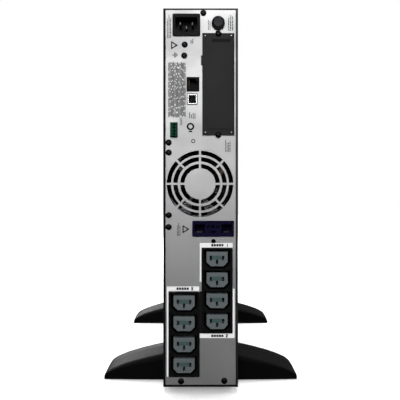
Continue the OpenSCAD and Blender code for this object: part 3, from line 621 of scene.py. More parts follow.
class Form:
    """A mesh that is shaped with bmesh operators and then made into a piece."""

    def __init__(self) -> None:
        """Starts an empty form."""
        self.mesh = bmesh.new()

    def add(self, part: bmesh.types.BMesh, matrix: Matrix | None = None) -> "Form":
        """Takes a finished part into the form and frees it.

        Args:
            part: the part.
            matrix: where it goes, or None to leave it where it is.

        Returns:
            The form itself.
        """
        if matrix is not None:
            bmesh.ops.transform(part, matrix=matrix, verts=part.verts)
        held = bpy.data.meshes.new("part")
        part.to_mesh(held)
        part.free()
        self.mesh.from_mesh(held)
        bpy.data.meshes.remove(held)
        return self

    def copies(self, template: "Form", matrices: Iterable[Matrix]) -> "Form":
        """Adds a copy of another form at each place.

        Args:
            template: the form to copy.
            matrices: where the copies go.

        Returns:
            The form itself.
        """
        for matrix in matrices:
            self.add(template.mesh.copy(), matrix)
        return self

    def block(self, low: Sequence[float], high: Sequence[float], edge: float = 0.0, corner: float = 0.0,
              along: Axis = Axis.Y) -> "Form":
        """Adds a block with rounded edges.

        Args:
            low: its lowest corner.
            high: its highest corner.
            edge: rounding of all its edges.
            corner: larger rounding of the four edges along one axis.
            along: that axis.

        Returns:
            The form itself.
        """
        part = cube(Vector(high) - Vector(low), (Vector(high) + Vector(low)) / 2)
        if corner:
            uprights = [e for e in part.edges
                        if abs((e.verts[1].co - e.verts[0].co).normalized()[along.value]) > 0.9]
            bevel(part, uprights, corner, 6)
        if edge:
            bevel(part, creases(part), edge)
        return self.add(part)

    def turned(self, profile: Sequence[Place], centre: Vector, axis: Vector, steps: int = 48) -> "Form":
        """Adds a turned shape.

        Args:
            profile: points of its half section, as radius and distance along the axis.
            centre: the point that the distances start from.
            axis: the direction of the axis.
            steps: number of steps round.

        Returns:
            The form itself.
        """
        part = bmesh.new()
        verts = [part.verts.new((radius, 0.0, rise)) for radius, rise in profile]
        edges = [part.edges.new(pair) for pair in zip(verts, verts[1:])]
        bmesh.ops.spin(part, geom=verts + edges, cent=(0, 0, 0), axis=(0, 0, 1), dvec=(0, 0, 0),
                       angle=math.tau, steps=steps, use_merge=True)
        bmesh.ops.remove_doubles(part, verts=part.verts, dist=WELD)
        bmesh.ops.recalc_face_normals(part, faces=part.faces)
        turn = UPWARD.rotation_difference(axis).to_matrix().to_4x4()
        return self.add(part, Matrix.Translation(centre) @ turn)

    def tube(self, points: Sequence[Vector], radius: float, sides: int = 12) -> "Form":
        """Adds a round lead along a smooth line through some points.

        Args:
            points: the points.
            radius: the lead's radius.
            sides: number of sides round.

        Returns:
            The form itself.
        """
        curve = bpy.data.curves.new("lead", "CURVE")
        curve.dimensions = "3D"
        curve.bevel_depth = radius
        curve.bevel_resolution = max(1, sides // 4 - 1)
        curve.use_fill_caps = True
        curve.resolution_u = 10
        spline = curve.splines.new("BEZIER")
        spline.bezier_points.add(len(points) - 1)
        for knot, point in zip(spline.bezier_points, points):
            knot.co = point
            knot.handle_left_type = knot.handle_right_type = "AUTO"
        holder = linked("lead", curve)
        mesh = evaluated(holder)
        part = bmesh.new()
        part.from_mesh(mesh)
        bmesh.ops.remove_doubles(part, verts=part.verts, dist=WELD)
        bmesh.ops.recalc_face_normals(part, faces=part.faces)
        bpy.data.objects.remove(holder)
        bpy.data.curves.remove(curve)
        bpy.data.meshes.remove(mesh)
        return self.add(part)

    def cut(self, tool: "Form") -> "Form":
        """Cuts another form out of this one.

        Args:
            tool: the form that is taken away. It is used up.

        Returns:
            The form itself.
        """
        holders = []
        for form in (self, tool):
            mesh = bpy.data.meshes.new("cut")
            form.mesh.to_mesh(mesh)
            holders.append(linked("cut", mesh))
        change = holders[0].modifiers.new("cut", "BOOLEAN")
        change.operation = "DIFFERENCE"
        change.solver = "EXACT"
        change.object = holders[1]
        result = evaluated(holders[0])
        self.mesh.clear()
        self.mesh.from_mesh(result)
        tool.mesh.free()
        for holder in holders:
            mesh = holder.data
            bpy.data.objects.remove(holder)
            bpy.data.meshes.remove(mesh)
        bpy.data.meshes.remove(result)
        return self

    def piece(self, name: str, finish: Finish, body: str, stands_for: Sequence[str] = (),
              smooth: float = 35.0) -> bpy.types.Object:
        """Makes the form a piece of the scene.

        Args:
            name: the piece's name.
            finish: its finish.
            body: the CAD body that it moves with.
            stands_for: CAD nodes that it replaces.
            smooth: edges below this angle are shaded smooth, in degrees.

        Returns:
            The piece.
        """
        mesh = bpy.data.meshes.new(name)
        self.mesh.to_mesh(mesh)
        self.mesh.free()
        mesh.shade_smooth()
        mesh.set_sharp_from_angle(angle=math.radians(smooth))
        piece = linked(name, mesh)
        mesh.materials.append(finish.material())
        even = piece.modifiers.new("even_shading", "WEIGHTED_NORMAL")
        even.keep_sharp = True
        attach(piece, body)
        if stands_for:
            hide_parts(*stands_for)
        log.info("%s: %d faces, on %s", name, len(mesh.polygons), body)
        return piece


@dataclass(frozen=True)
class Solid:
    """The box of one separate solid of a CAD node."""

    low: Vector
    high: Vector

    @property
    def middle(self) -> Vector:
        """The box's middle."""
        return (self.low + self.high) / 2

    @property
    def size(self) -> Vector:
        """The box's size along each axis."""
        return self.high - self.low


def whole(node: str) -> Solid:
    """Gives the box of a whole CAD node."""
    return Solid(*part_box(node))


def cad_copy(node: str) -> bmesh.types.BMesh:
    """Gives a merged copy of a CAD node's mesh, with its flat faces made whole."""
    copy = bmesh.new()
    copy.from_mesh(frame["nodes"][node].data)
    bmesh.ops.remove_doubles(copy, verts=copy.verts, dist=2e-6)
    bmesh.ops.dissolve_degenerate(copy, dist=1e-6, edges=copy.edges)
    bmesh.ops.dissolve_limit(copy, angle_limit=math.radians(0.6), use_dissolve_boundaries=False,
                             verts=copy.verts, edges=copy.edges)
    return copy


def solids(node: str) -> list[Solid]:
    """Finds the separate solids of a CAD node.

    Args:
        node: the node's name.

    Returns:
        Their boxes, from the lowest up and then from -X to +X.
    """
    mesh = cad_copy(node)
    waiting = set(mesh.verts)
    found = []
    while waiting:
        group, edge = set(), [waiting.pop()]
        while edge:
            vert = edge.pop()
            group.add(vert)
            near = {e.other_vert(vert) for e in vert.link_edges} & waiting
            waiting -= near
            edge += list(near)
        columns = list(zip(*(v.co for v in group)))
        found.append(Solid(Vector(map(min, columns)), Vector(map(max, columns))))
    mesh.free()
    return sorted(found, key=lambda s: (round(s.middle.z, 4), round(s.middle.x, 4)))


def body_of(node: str) -> str:
    """Gives the name of the CAD body that a node rides on."""
    return frame["nodes"][node]["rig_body"]


def eased(node: str, finish: Finish, ease: float = 0.2 * MM, smooth: float = 35.0) -> bpy.types.Object:
    """Makes a piece from a CAD node with its edges broken, as real ones are.

    Args:
        node: the CAD node, which the piece replaces.
        finish: the piece's finish.
        ease: how far the edges are rounded, or 0 to leave them.
        smooth: edges below this angle are shaded smooth.

    Returns:
        The piece.
    """
    form = Form()
    form.mesh.free()
    form.mesh = cad_copy(node)
    if ease:
        bevel(form.mesh, creases(form.mesh), ease)
    return form.piece(f"{node}_shell", finish, body_of(node), [node], smooth)


def eased_all(*rows: tuple[str, Finish, float]) -> None:
    """Makes a piece from each CAD node in rows of node, finish and rounding in millimetres."""
    for node, finish, ease in rows:
        eased(node, finish, ease * MM)


# ------------------------------------------------------------------ print
SEGMENTS = {"0": "abcdef", "1": "bc", "2": "abged", "3": "abgcd", "5": "afgcd", "8": "abcdefg"}


@dataclass
class Print:
    """Ink laid on a flat face that looks along Y: strokes, patches and plain rows of dashes."""

    face_y: float
    outward: int = -1
    thickness: float = 0.06 * MM
    form: Form = field(default_factory=Form)

    def patch(self, low: Place, high: Place) -> "Print":
        """Adds a filled rectangle between two corners in X and Z."""
        top = self.face_y + self.outward * self.thickness
        root = self.face_y - self.outward * self.thickness
        self.form.block((low[0], min(top, root), low[1]), (high[0], max(top, root), high[1]))
        return self

    def stroke(self, start: Place, end: Place, width: float) -> "Print":
        """Adds a straight line of ink.

        Args:
            start: one end, as X and Z.
            end: the other end.
            width: the line's width.

        Returns:
            The print itself.
        """
        run = Vector((end[0] - start[0], 0, end[1] - start[1]))
        part = cube((run.length + width * 0.9, 2 * self.thickness, width))
        turn = Matrix.Rotation(-math.atan2(run.z, run.x), 4, "Y")
        middle = Vector(((start[0] + end[0]) / 2, self.face_y, (start[1] + end[1]) / 2))
        self.form.add(part, Matrix.Translation(middle) @ turn)
        return self

    def dashes(self, low: Place, high: Place, rows: int, along: Axis, seed: int,
               fill: float = 0.45, run: tuple[float, float] = (1.2 * MM, 4.2 * MM),
               ragged: float = 0.35) -> "Print":
        """Adds rows of plain dashes that stand for small print.

        Args:
            low: lowest corner of the block, as X and Z.
            high: highest corner.
            rows: number of rows.
            along: Axis.X or Axis.Z, the way the rows run.
            seed: seed of the dash lengths.
            fill: a dash's width, as a share of the row pitch.
            run: shortest and longest dash.
            ragged: how much shorter than the block a row may be, as a share.

        Returns:
            The print itself.
        """
        rng = random.Random(seed)
        way = 0 if along is Axis.X else 1
        pitch = (high[1 - way] - low[1 - way]) / rows
        half = pitch * fill / 2
        for row in range(rows):
            across = low[1 - way] + (row + 0.5) * pitch
            at = low[way] + rng.uniform(0, run[0])
            stop = high[way] - rng.uniform(0, ragged) * (high[way] - low[way])
            while at < stop:
                length = min(rng.uniform(*run), stop - at)
                corners = (at, across - half), (at + length, across + half)
                self.patch(*(corner if along is Axis.X else corner[::-1] for corner in corners))
                at += length + rng.uniform(0.3, 0.8) * run[0]
        return self

    def frame(self, low: Place, high: Place, width: float) -> "Print":
        """Adds the outline of a rectangle between two corners."""
        for z in (low[1], high[1]):
            self.stroke((low[0], z), (high[0], z), width)
        for x in (low[0], high[0]):
            self.stroke((x, low[1]), (x, high[1]), width)
        return self

    def ring(self, centre: Place, radius: float, width: float, start: float = 0.0,
             sweep: float = 360.0) -> "Print":
        """Adds an arc of ink, in degrees from +X towards +Z."""
        steps = max(6, int(sweep / 15))
        angles = [math.radians(start + sweep * i / steps) for i in range(steps + 1)]
        spots = [(centre[0] + radius * math.cos(angle), centre[1] + radius * math.sin(angle))
                 for angle in angles]
        for a, b in zip(spots, spots[1:]):
            self.stroke(a, b, width)
        return self

    def digit(self, figure: str, low: Place, height: float, width: float) -> "Print":
        """Adds a seven-stroke figure.

        Args:
            figure: the figure.
            low: its lowest corner, as X and Z.
            height: its height.
            width: the strokes' width.

        Returns:
            The print itself.
        """
        x0, z0 = low
        x1, half = x0 + height * 0.52, height / 2
        ends = {"a": ((x0, z0 + height), (x1, z0 + height)), "b": ((x1, z0 + half), (x1, z0 + height)),
                "c": ((x1, z0), (x1, z0 + half)), "d": ((x0, z0), (x1, z0)),
                "e": ((x0, z0), (x0, z0 + half)), "f": ((x0, z0 + half), (x0, z0 + height)),
                "g": ((x0, z0 + half), (x1, z0 + half))}
        for name in SEGMENTS[figure]:
            self.stroke(*ends[name], width)
        return self

    def turned_round(self, middle: float) -> "Print":
        """Mirrors the print about a vertical line, so that it reads rightly from +Y."""
        mesh = self.form.mesh
        mirror = Matrix.Translation((2 * middle, 0, 0)) @ Matrix.Diagonal((-1, 1, 1, 1))
        bmesh.ops.transform(mesh, matrix=mirror, verts=mesh.verts)
        bmesh.ops.reverse_faces(mesh, faces=mesh.faces)
        return self

    def done(self, name: str, finish: Finish, body: str) -> bpy.types.Object:
        """Makes the print a piece."""
        return self.form.piece(name, finish, body)


# ------------------------------------------------------------------ shared hardware
@dataclass
class PanHead:
    """A cross-recessed pan-head screw that faces +Z in its own frame."""

    radius: float = 3.5 * MM
    height: float = 2.2 * MM
    shank: float = 1.8 * MM
    length: float = 8.0 * MM

    def template(self) -> Form:
        """Builds the screw once, for copying."""
        r, h = self.radius, self.height
        profile = [(0.0, h), (r * 0.45, h * 0.97), (r * 0.75, h * 0.84), (r * 0.93, h * 0.6), (r, h * 0.3),
                   (r, 0.0), (self.shank, 0.0), (self.shank, 0.5 * MM - self.length),
                   (self.shank * 0.7, -self.length), (0.0, -self.length)]
        screw = Form().turned(profile, Vector(), UPWARD, 40)
        for turn in (20, 110):
            bar = cube((r * 1.15, r * 0.24, h * 1.1))
            foot = [v for v in bar.verts if v.co.z < 0]
            bmesh.ops.scale(bar, vec=(0.55, 0.7, 1.0), verts=foot)
            turned = Matrix.Translation((0, 0, h)) @ Matrix.Rotation(math.radians(turn), 4, "Z")
            screw.cut(Form().add(bar, turned))
        return screw

    def places(self, spots: Iterable[Vector], facing: Vector) -> list[Matrix]:
        """Gives the transforms that seat the screw at each spot, facing a direction."""
        turn = UPWARD.rotation_difference(facing).to_matrix().to_4x4()
        return [Matrix.Translation(spot) @ turn for spot in spots]


# ------------------------------------------------------------------ case
@dataclass
class Case:
    """The painted sheet-steel case, its screws and the zinc-plated frames inside it."""

    def build(self) -> None:
        """Builds the case's pieces."""
        eased_all(("chassis_tray", CASE, 0.25), ("side_cover", COVER, 0.25),
                  ("bay_partition", ZINC, 0.15), ("front_frame", ZINC, 0.15))
        self.screws()

    def screws(self) -> None:
        """Builds the panel's pan heads and the cover's flat heads."""
        panel_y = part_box("rear_panel")[0].y
        heads = [s for s in solids("case_screws") if s.low.y < panel_y]
        covers = [s for s in solids("case_screws") if s.low.y > panel_y]
        head = PanHead()
        spots = [Vector((s.middle.x, panel_y, s.middle.z)) for s in heads]
        Form().copies(head.template(), head.places(spots, REARWARD)).piece(
            "panel_screws", BLACK_STEEL, "chassis", ["case_screws"])
        flat = Form()
        for s in covers:
            on_top = s.middle.z > whole("side_cover").middle.z
            face, axis = (s.high.z, UPWARD) if on_top else (s.low.z, DOWNWARD)
            r = s.size.x / 2
            flat.turned([(0.0, -0.4 * MM), (0.6 * MM, -0.4 * MM), (0.9 * MM, 0.0), (r - 0.2 * MM, 0.0),
                         (r, -0.2 * MM), (r, -1.1 * MM), (1.5 * MM, -1.1 * MM), (1.5 * MM, -s.size.z),
                         (0.0, -s.size.z)], Vector((s.middle.x, s.middle.y, face)), axis, 32)
        flat.piece("cover_screws", BLACK_STEEL, "chassis", ["case_screws"])


# ------------------------------------------------------------------ connector panel
@dataclass
class ConnectorPanel:
    """The grey panel with its punched fan grille, and the print on it."""

    line: float = 2.1 * MM
    band: float = 5.0 * MM
    gap: float = 0.3 * MM
    left_line_foot: float = 125 * MM
    right_line_top: float = 117 * MM
    label_low: Place = mm(-37.6, 311.5)
    label_high: Place = mm(-16.5, 377)
    warning_side: float = 5.3 * MM
    warnings_at: tuple[Place, ...] = (mm(-30.8, 395.1), mm(-17.7, 185.0))
    earth_at: Place = mm(-29.5, 384.0)
    large_ring_at: Place = mm(-11.6, 302.2)
    small_ring_at: Place = mm(-8.4, 285.7)
    dot_at: Place = mm(14.7, 171.1)

    def build(self) -> None:
        """Builds the panel and its print."""
        self.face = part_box("rear_panel")[0].y
        eased("rear_panel", PANEL, 0.12 * MM)
        self.group_frames()
        self.rating_label()
        self.symbols()
        self.small_print()

    def group_frames(self) -> None:
        """Builds the white lines and bands that mark the outlet groups, with their numbers."""
        line, band, gap = self.line, self.band, self.gap
        left, right = whole("outlet_block_left"), whole("outlet_block_right")
        x0, x1 = right.low.x, right.high.x
        over, under, left_over = right.high.z + 0.4 * MM, right.low.z - 1.0 * MM, left.high.z + 0.8 * MM
        white = Print(self.face)
        white.patch((x0 - line, over), (x1, over + band))
        white.patch((x0 - line, self.left_line_foot), (x0 - gap, right.high.z + 0.5 * MM))
        white.patch((x0 - line, under - band), (x1 + line + gap, under))
        white.patch((x1 + gap, right.low.z - 1.2 * MM), (x1 + gap + line, self.right_line_top))
        white.patch((left.low.x - line, left_over), (left.high.x - 0.5 * MM, left_over + band))
        white.patch((left.low.x - line, left.low.z), (left.low.x - gap, left.high.z + MM))
        # The white lines carry the ink's painted glow.
        white.done("group_lines", GLOWING_WHITE_INK, "chassis")
        black = Print(self.face, thickness=0.12 * MM)
        bands = (("1", x0 + 11 * MM, over), ("2", x0 + 11 * MM, under - band),
                 ("3", left.low.x + 9 * MM, left_over))
        for figure, x, z in bands:
            for i in range(5):
                black.patch((x + i * 2.9 * MM, z + 1.1 * MM), (x + (i * 2.9 + 2.4) * MM, z + 3.9 * MM))
            black.digit(figure, (x + 17 * MM, z + 1.1 * MM), 2.8 * MM, 0.9 * MM)
        black.done("group_marks", BLACK_INK, "chassis")

    def rating_label(self) -> None:
        """Builds the rating label as a plain film with ruled dashes."""
        low, high = self.label_low, self.label_high
        Print(self.face).patch(low, high).done("rating_label_film", LABEL, "chassis")
        ink = Print(self.face, thickness=0.12 * MM)
        ink.dashes((low[0] + 0.6 * MM, low[1] + MM), (high[0] - 0.6 * MM, high[1] - MM), 14, Axis.Z, 4,
                   0.66, mm(2.5, 11.0), 0.03)
        column, row = low[0] + 6.6 * MM, low[1] + 22 * MM
        ink.stroke((column, low[1]), (column, high[1]), 0.3 * MM)
        ink.stroke((low[0], row), (high[0], row), 0.3 * MM)
        ink.done("rating_label_print", BLACK_INK, "chassis")

    def symbols(self) -> None:
        """Builds the earth sign, two blank triangles, the small round marks and a painted shadow strip
        between the outlet blocks.
        """
        black = Print(self.face)
        side = self.warning_side
        for x, z in self.warnings_at:
            tips = [(x + side * 0.7, z), (x - side * 0.45, z + side * 0.7), (x - side * 0.45, z - side * 0.7)]
            for a, b in zip(tips, tips[1:] + tips[:1]):
                black.stroke(a, b, 1.3 * MM)
        x, z = self.earth_at
        black.stroke((x - 3 * MM, z), (x - 0.4 * MM, z), 0.8 * MM)
        for i, half in enumerate((3.0, 2.0, 1.0)):
            black.stroke((x + i * 1.3 * MM, z - half * MM), (x + i * 1.3 * MM, z + half * MM), 0.8 * MM)
        black.ring(self.large_ring_at, 3.3 * MM, 1.8 * MM)
        black.stroke(mm(-13.0, 296.6), mm(-10.2, 296.6), 1.5 * MM)
        black.ring(self.small_ring_at, 1.9 * MM, 0.9 * MM)
        for radius in (0.7, 1.9):
            black.ring(self.dot_at, radius * MM, 1.4 * MM)
        # Painted shadow: a black strip in the gap between the two outlet blocks, where only shade falls.
        black.patch(mm(-1.2, 66.3), mm(1.1, 114.0))
        black.done("panel_symbols", BLACK_INK, "chassis")

    def small_print(self) -> None:
        """Builds the rows of dashes that stand for small print."""
        ink = Print(self.face)
        blocks = (((-38.8, 403.0), (-33.4, 430.0), 3, 11), ((8.0, 412.0), (11.6, 428.0), 2, 12),
                  ((31.0, 411.5), (37.6, 431.0), 3, 13), ((-24.0, 303.5), (-21.0, 316.0), 2, 14),
                  ((-13.5, 311.0), (-5.5, 318.5), 4, 15), ((27.6, 273.0), (34.4, 289.5), 4, 16),
                  ((-27.4, 177.0), (-22.8, 194.0), 3, 17), ((-12.0, 397.0), (-8.0, 403.0), 2, 18))
        for low, high, rows, seed in blocks:
            ink.dashes(mm(*low), mm(*high), rows, Axis.Z, seed, 0.5, mm(0.9, 3.0))
        ink.done("panel_small_print", GREY_INK, "chassis")


# ------------------------------------------------------------------ outlets and inlet
@dataclass
class Outlets:
    """The two blocks of appliance outlets, their cores and their contacts."""

    def build(self) -> None:
        """Builds blocks, cores and contacts."""
        eased_all(("outlet_block_left", SOCKET, 0.35), ("outlet_block_right", SOCKET, 0.35),
                  ("outlet_cores", CORE, 0.4), ("outlet_contacts", TIN, 0.2))
        self.key_lines()
        shutters = Form()
        for s in solids("outlet_cores"):
            shutters.block((s.middle.x - 5.4 * MM, s.low.y - 0.08 * MM, s.middle.z - 0.8 * MM),
                           (s.middle.x + 5.4 * MM, s.low.y + 0.3 * MM, s.middle.z + 3.8 * MM))
        shutters.piece("outlet_shutters", TEAL, "chassis")

    def key_lines(self) -> None:
        """Builds the raised ribs beside each outlet's opening, on the block's face."""
        ribs = Form()
        for side in ("left", "right"):
            low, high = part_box(f"outlet_block_{side}")
            for x in (low.x + 1.2 * MM, high.x - 1.2 * MM):
                ribs.block((x - 0.45 * MM, low.y - 0.3 * MM, low.z + 3 * MM),
                           (x + 0.45 * MM, low.y + 0.2 * MM, high.z - 3 * MM), 0.2 * MM)
        ribs.piece("outlet_block_ribs", SOCKET, "chassis")


@dataclass
class Inlet:
    """The mains inlet with its three blades."""

    def build(self) -> None:
        """Builds the housing and round-nosed blades, whose plating is darkened as painted shade."""
        eased("inlet_housing", SOCKET, 0.35 * MM)
        blades = Form()
        for s in solids("inlet_pins"):
            blades.block(s.low, s.high, 0.7 * MM)
        blades.piece("inlet_blades", SHADED_BLADE, "chassis", ["inlet_pins"])


@dataclass
class Breaker:
    """The resettable breaker: a ringed collar and its push button."""

    def build(self) -> None:
        """Builds collar and button."""
        eased("breaker_body", SOCKET, 0.4 * MM)
        button = whole("breaker_button")
        low, middle = button.low, button.middle
        r, depth = button.size.x / 2, button.size.y
        face = Vector((middle.x, low.y, middle.z))
        cap = Form().turned([(0.0, -0.5 * MM), (r * 0.6, -0.35 * MM), (r * 0.86, -0.05 * MM),
                             (r * 0.95, -0.1 * MM), (r, -0.6 * MM), (r, -depth), (0.0, -depth)],
                            face, REARWARD, 48)
        slot = Form().block((middle.x - 3.6 * MM, low.y - MM, middle.z - 0.55 * MM),
                            (middle.x + 3.6 * MM, low.y + 1.1 * MM, middle.z + 0.55 * MM))
        cap.cut(slot).piece("breaker_cap", BUTTON, "breaker_button", ["breaker_button"])


# ------------------------------------------------------------------ data jacks
@dataclass
class Jacks:
    """The serial jack, the USB jack and the pluggable terminal."""

    springs: int = 10
    spring_pitch: float = 1.02 * MM
    terminals: int = 4
    terminal_pitch: float = 3.6 * MM

    def build(self) -> None:
        """Builds the three jacks."""
        eased_all(("serial_jack", JACK, 0.25), ("usb_shell", NICKEL, 0.12), ("usb_insert", JACK, 0.15),
                  ("terminal_header", GREEN, 0.12), ("terminal_plug", GREEN, 0.2))
        self.contacts()
        self.terminal_screws()

    def contacts(self) -> None:
        """Builds the gold springs of the serial jack and the pads on the USB tongue."""
        jack = whole("serial_jack")
        x, y = jack.middle.x, jack.low.y
        gold = Form()
        for i in range(self.springs):
            z = jack.middle.z + (i - (self.springs - 1) / 2) * self.spring_pitch
            gold.block((x - 4.2 * MM, y + 2 * MM, z - 0.2 * MM), (x - 3.7 * MM, y + 12 * MM, z + 0.2 * MM),
                       0.08 * MM)
        tongue = whole("usb_insert")
        y = tongue.low.y
        for side in (-1, 1):
            for end in (-1, 1):
                x, z = tongue.middle.x + side * 1.6 * MM, tongue.middle.z + end * 1.3 * MM
                gold.block((x - 0.15 * MM, y + 0.6 * MM, z - 0.5 * MM),
                           (x + 0.15 * MM, y + 8 * MM, z + 0.5 * MM), 0.05 * MM)
        gold.piece("jack_contacts", BRASS, "chassis")

    def terminal_screws(self) -> None:
        """Builds the clamp screws in the side of the terminal plug."""
        plug = whole("terminal_plug")
        head = section((0, 0.5), (0.75, 0.5), (0.95, 0.3), (0.95, -0.4), (0, -0.4))
        heads = Form()
        for i in range(self.terminals):
            z = plug.middle.z + (i - (self.terminals - 1) / 2) * self.terminal_pitch
            heads.turned(head, Vector((plug.low.x + 0.4 * MM, plug.low.y + 3 * MM, z)), LEFTWARD, 20)
        heads.piece("terminal_screws", NICKEL, "terminal_plug")


@dataclass
class ExtensionSocket:
    """The blue socket for an outside battery pack."""

    def build(self) -> None:
        """Builds the housing with its guide ribs, and the contacts."""
        eased_all(("extension_socket", BLUE, 0.3), ("extension_contacts", TIN, 0.2))
        socket = whole("extension_socket")
        low, mid = socket.low, socket.middle
        ribs = Form()
        for side in (-1, 1):
            for i in range(3):
                x = mid.x + side * (11.6 + i * 3.6) * MM
                ribs.block((x - 0.5 * MM, low.y + 0.3 * MM, mid.z + 4.9 * MM),
                           (x + 0.5 * MM, low.y + 1.9 * MM, mid.z + 6.8 * MM), 0.2 * MM)
        ribs.piece("extension_ribs", BLUE, "chassis")


# ------------------------------------------------------------------ option slot
@dataclass
class OptionSlot:
    """The option slot: cage, cover, rivets and screws."""

    near_rivet: float = 3.4 * MM
    far_rivet: float = 33.1 * MM
    rivet_inset: float = 3.15 * MM

    def build(self) -> None:
        """Builds the slot's pieces."""
        eased("slot_cage", ZINC, 0.15 * MM)
        eased("slot_cover", SLOT_PAINT, 0.0)
        cover = whole("slot_cover")
        low, high, middle = cover.low, cover.high, cover.middle.z
        screw = PanHead()
        spots = [Vector((s.middle.x, s.low.y + screw.height, s.middle.z))
                 for s in solids("slot_cover_screws")]
        Form().copies(screw.template(), screw.places(spots, REARWARD)).piece(
            "cover_knob_screws", BLACK_STEEL, "slot_cover", ["slot_cover_screws"])
        self.rivets(low, high)
        Print(low.y + 0.6 * MM, thickness=0.1 * MM).patch(
            (high.x - 25.4 * MM, middle + 47.6 * MM), (high.x - 4.5 * MM, middle + 50.8 * MM)).done(
            "slot_cover_badge", BLACK_INK, "slot_cover")

    def rivets(self, low: Vector, high: Vector) -> None:
        """Builds the four bright rivets near the cover's corners.

        Args:
            low: lowest corner of the cover's box.
            high: highest corner.
        """
        face = low.y + 1.0 * MM
        dome = section((0, 1), (0.7, 0.86), (1.25, 0.4), (1.4, 0), (1.4, -0.3), (0, -0.3))
        domes = Form()
        for x in (high.x - self.far_rivet, high.x - self.near_rivet):
            for z in (low.z + self.rivet_inset, high.z - self.rivet_inset):
                domes.turned(dome, Vector((x, face, z)), REARWARD, 24)
        domes.piece("slot_cover_rivets", NICKEL, "slot_cover")


# ------------------------------------------------------------------ fan
@dataclass
class Fan:
    """The fan behind the grille: frame, hub and curved blades."""

    blades: int = 7
    stations: int = 7
    root_pitch: float = 52.0
    tip_pitch: float = 30.0
    camber: float = 1.6 * MM
    hub: float = 17 * MM
    tip: float = 36.6 * MM
    depth: float = 16 * MM

    def build(self) -> None:
        """Builds frame and rotor."""
        eased("fan_frame", FAN_BLACK, 0.3 * MM)
        low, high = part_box("fan_rotor")
        centre = whole("fan_frame").middle
        centre.y = low.y
        hub, depth = self.hub, self.depth
        rotor = Form().turned([(0.0, 0.0), (hub - 1.2 * MM, 0.0), (hub - 0.3 * MM, 0.3 * MM), (hub, 1.2 * MM),
                               (hub, depth), (hub - 1.5 * MM, depth), (hub - 1.5 * MM, 1.6 * MM),
                               (0.0, 1.6 * MM)], centre, FORWARD, 64)
        for i in range(self.blades):
            self.blade(rotor, centre + Vector((0, depth / 2, 0)), math.tau * i / self.blades)
        rotor.turned([(0.0, MM), (1.5 * MM, MM), (1.5 * MM, high.y - low.y), (0.0, high.y - low.y)],
                     centre, FORWARD, 24)
        rotor.piece("fan_blades", FAN_BLACK, "fan_rotor", ["fan_rotor"])
        label = section((0, 0.08), (12, 0.08), (12.2, 0), (12.2, -0.2), (0, -0.2))
        Form().turned(label, centre, REARWARD, 48).piece("fan_hub_label", GREY, "fan_rotor")

    def blade(self, rotor: Form, centre: Vector, turn: float) -> None:
        """Adds one blade, bent round the axis, pitched and cambered.

        Args:
            rotor: the form that takes the blade.
            centre: middle of the blades on the axis.
            turn: its angle round the axis.
        """
        root = self.hub - 0.4 * MM
        part = bmesh.new()
        bmesh.ops.create_grid(part, x_segments=self.stations, y_segments=self.stations, size=0.5)
        for vert in part.verts:
            out, along = vert.co.x + 0.5, vert.co.y
            radius = root + (self.tip - root) * out
            pitch = math.radians(self.root_pitch + (self.tip_pitch - self.root_pitch) * out)
            chord = (15.5 + 6.5 * out) * MM
            swing = turn + along * chord * math.cos(pitch) / radius + 0.22 * out
            rise = along * chord * math.sin(pitch) + self.camber * (1 - 4 * along * along)
            vert.co = (radius * math.cos(swing), rise, radius * math.sin(swing))
        bmesh.ops.recalc_face_normals(part, faces=part.faces)
        bmesh.ops.solidify(part, geom=part.faces[:] + part.edges[:] + part.verts[:], thickness=1.1 * MM)
        bmesh.ops.recalc_face_normals(part, faces=part.faces)
        rotor.add(part, Matrix.Translation(centre))


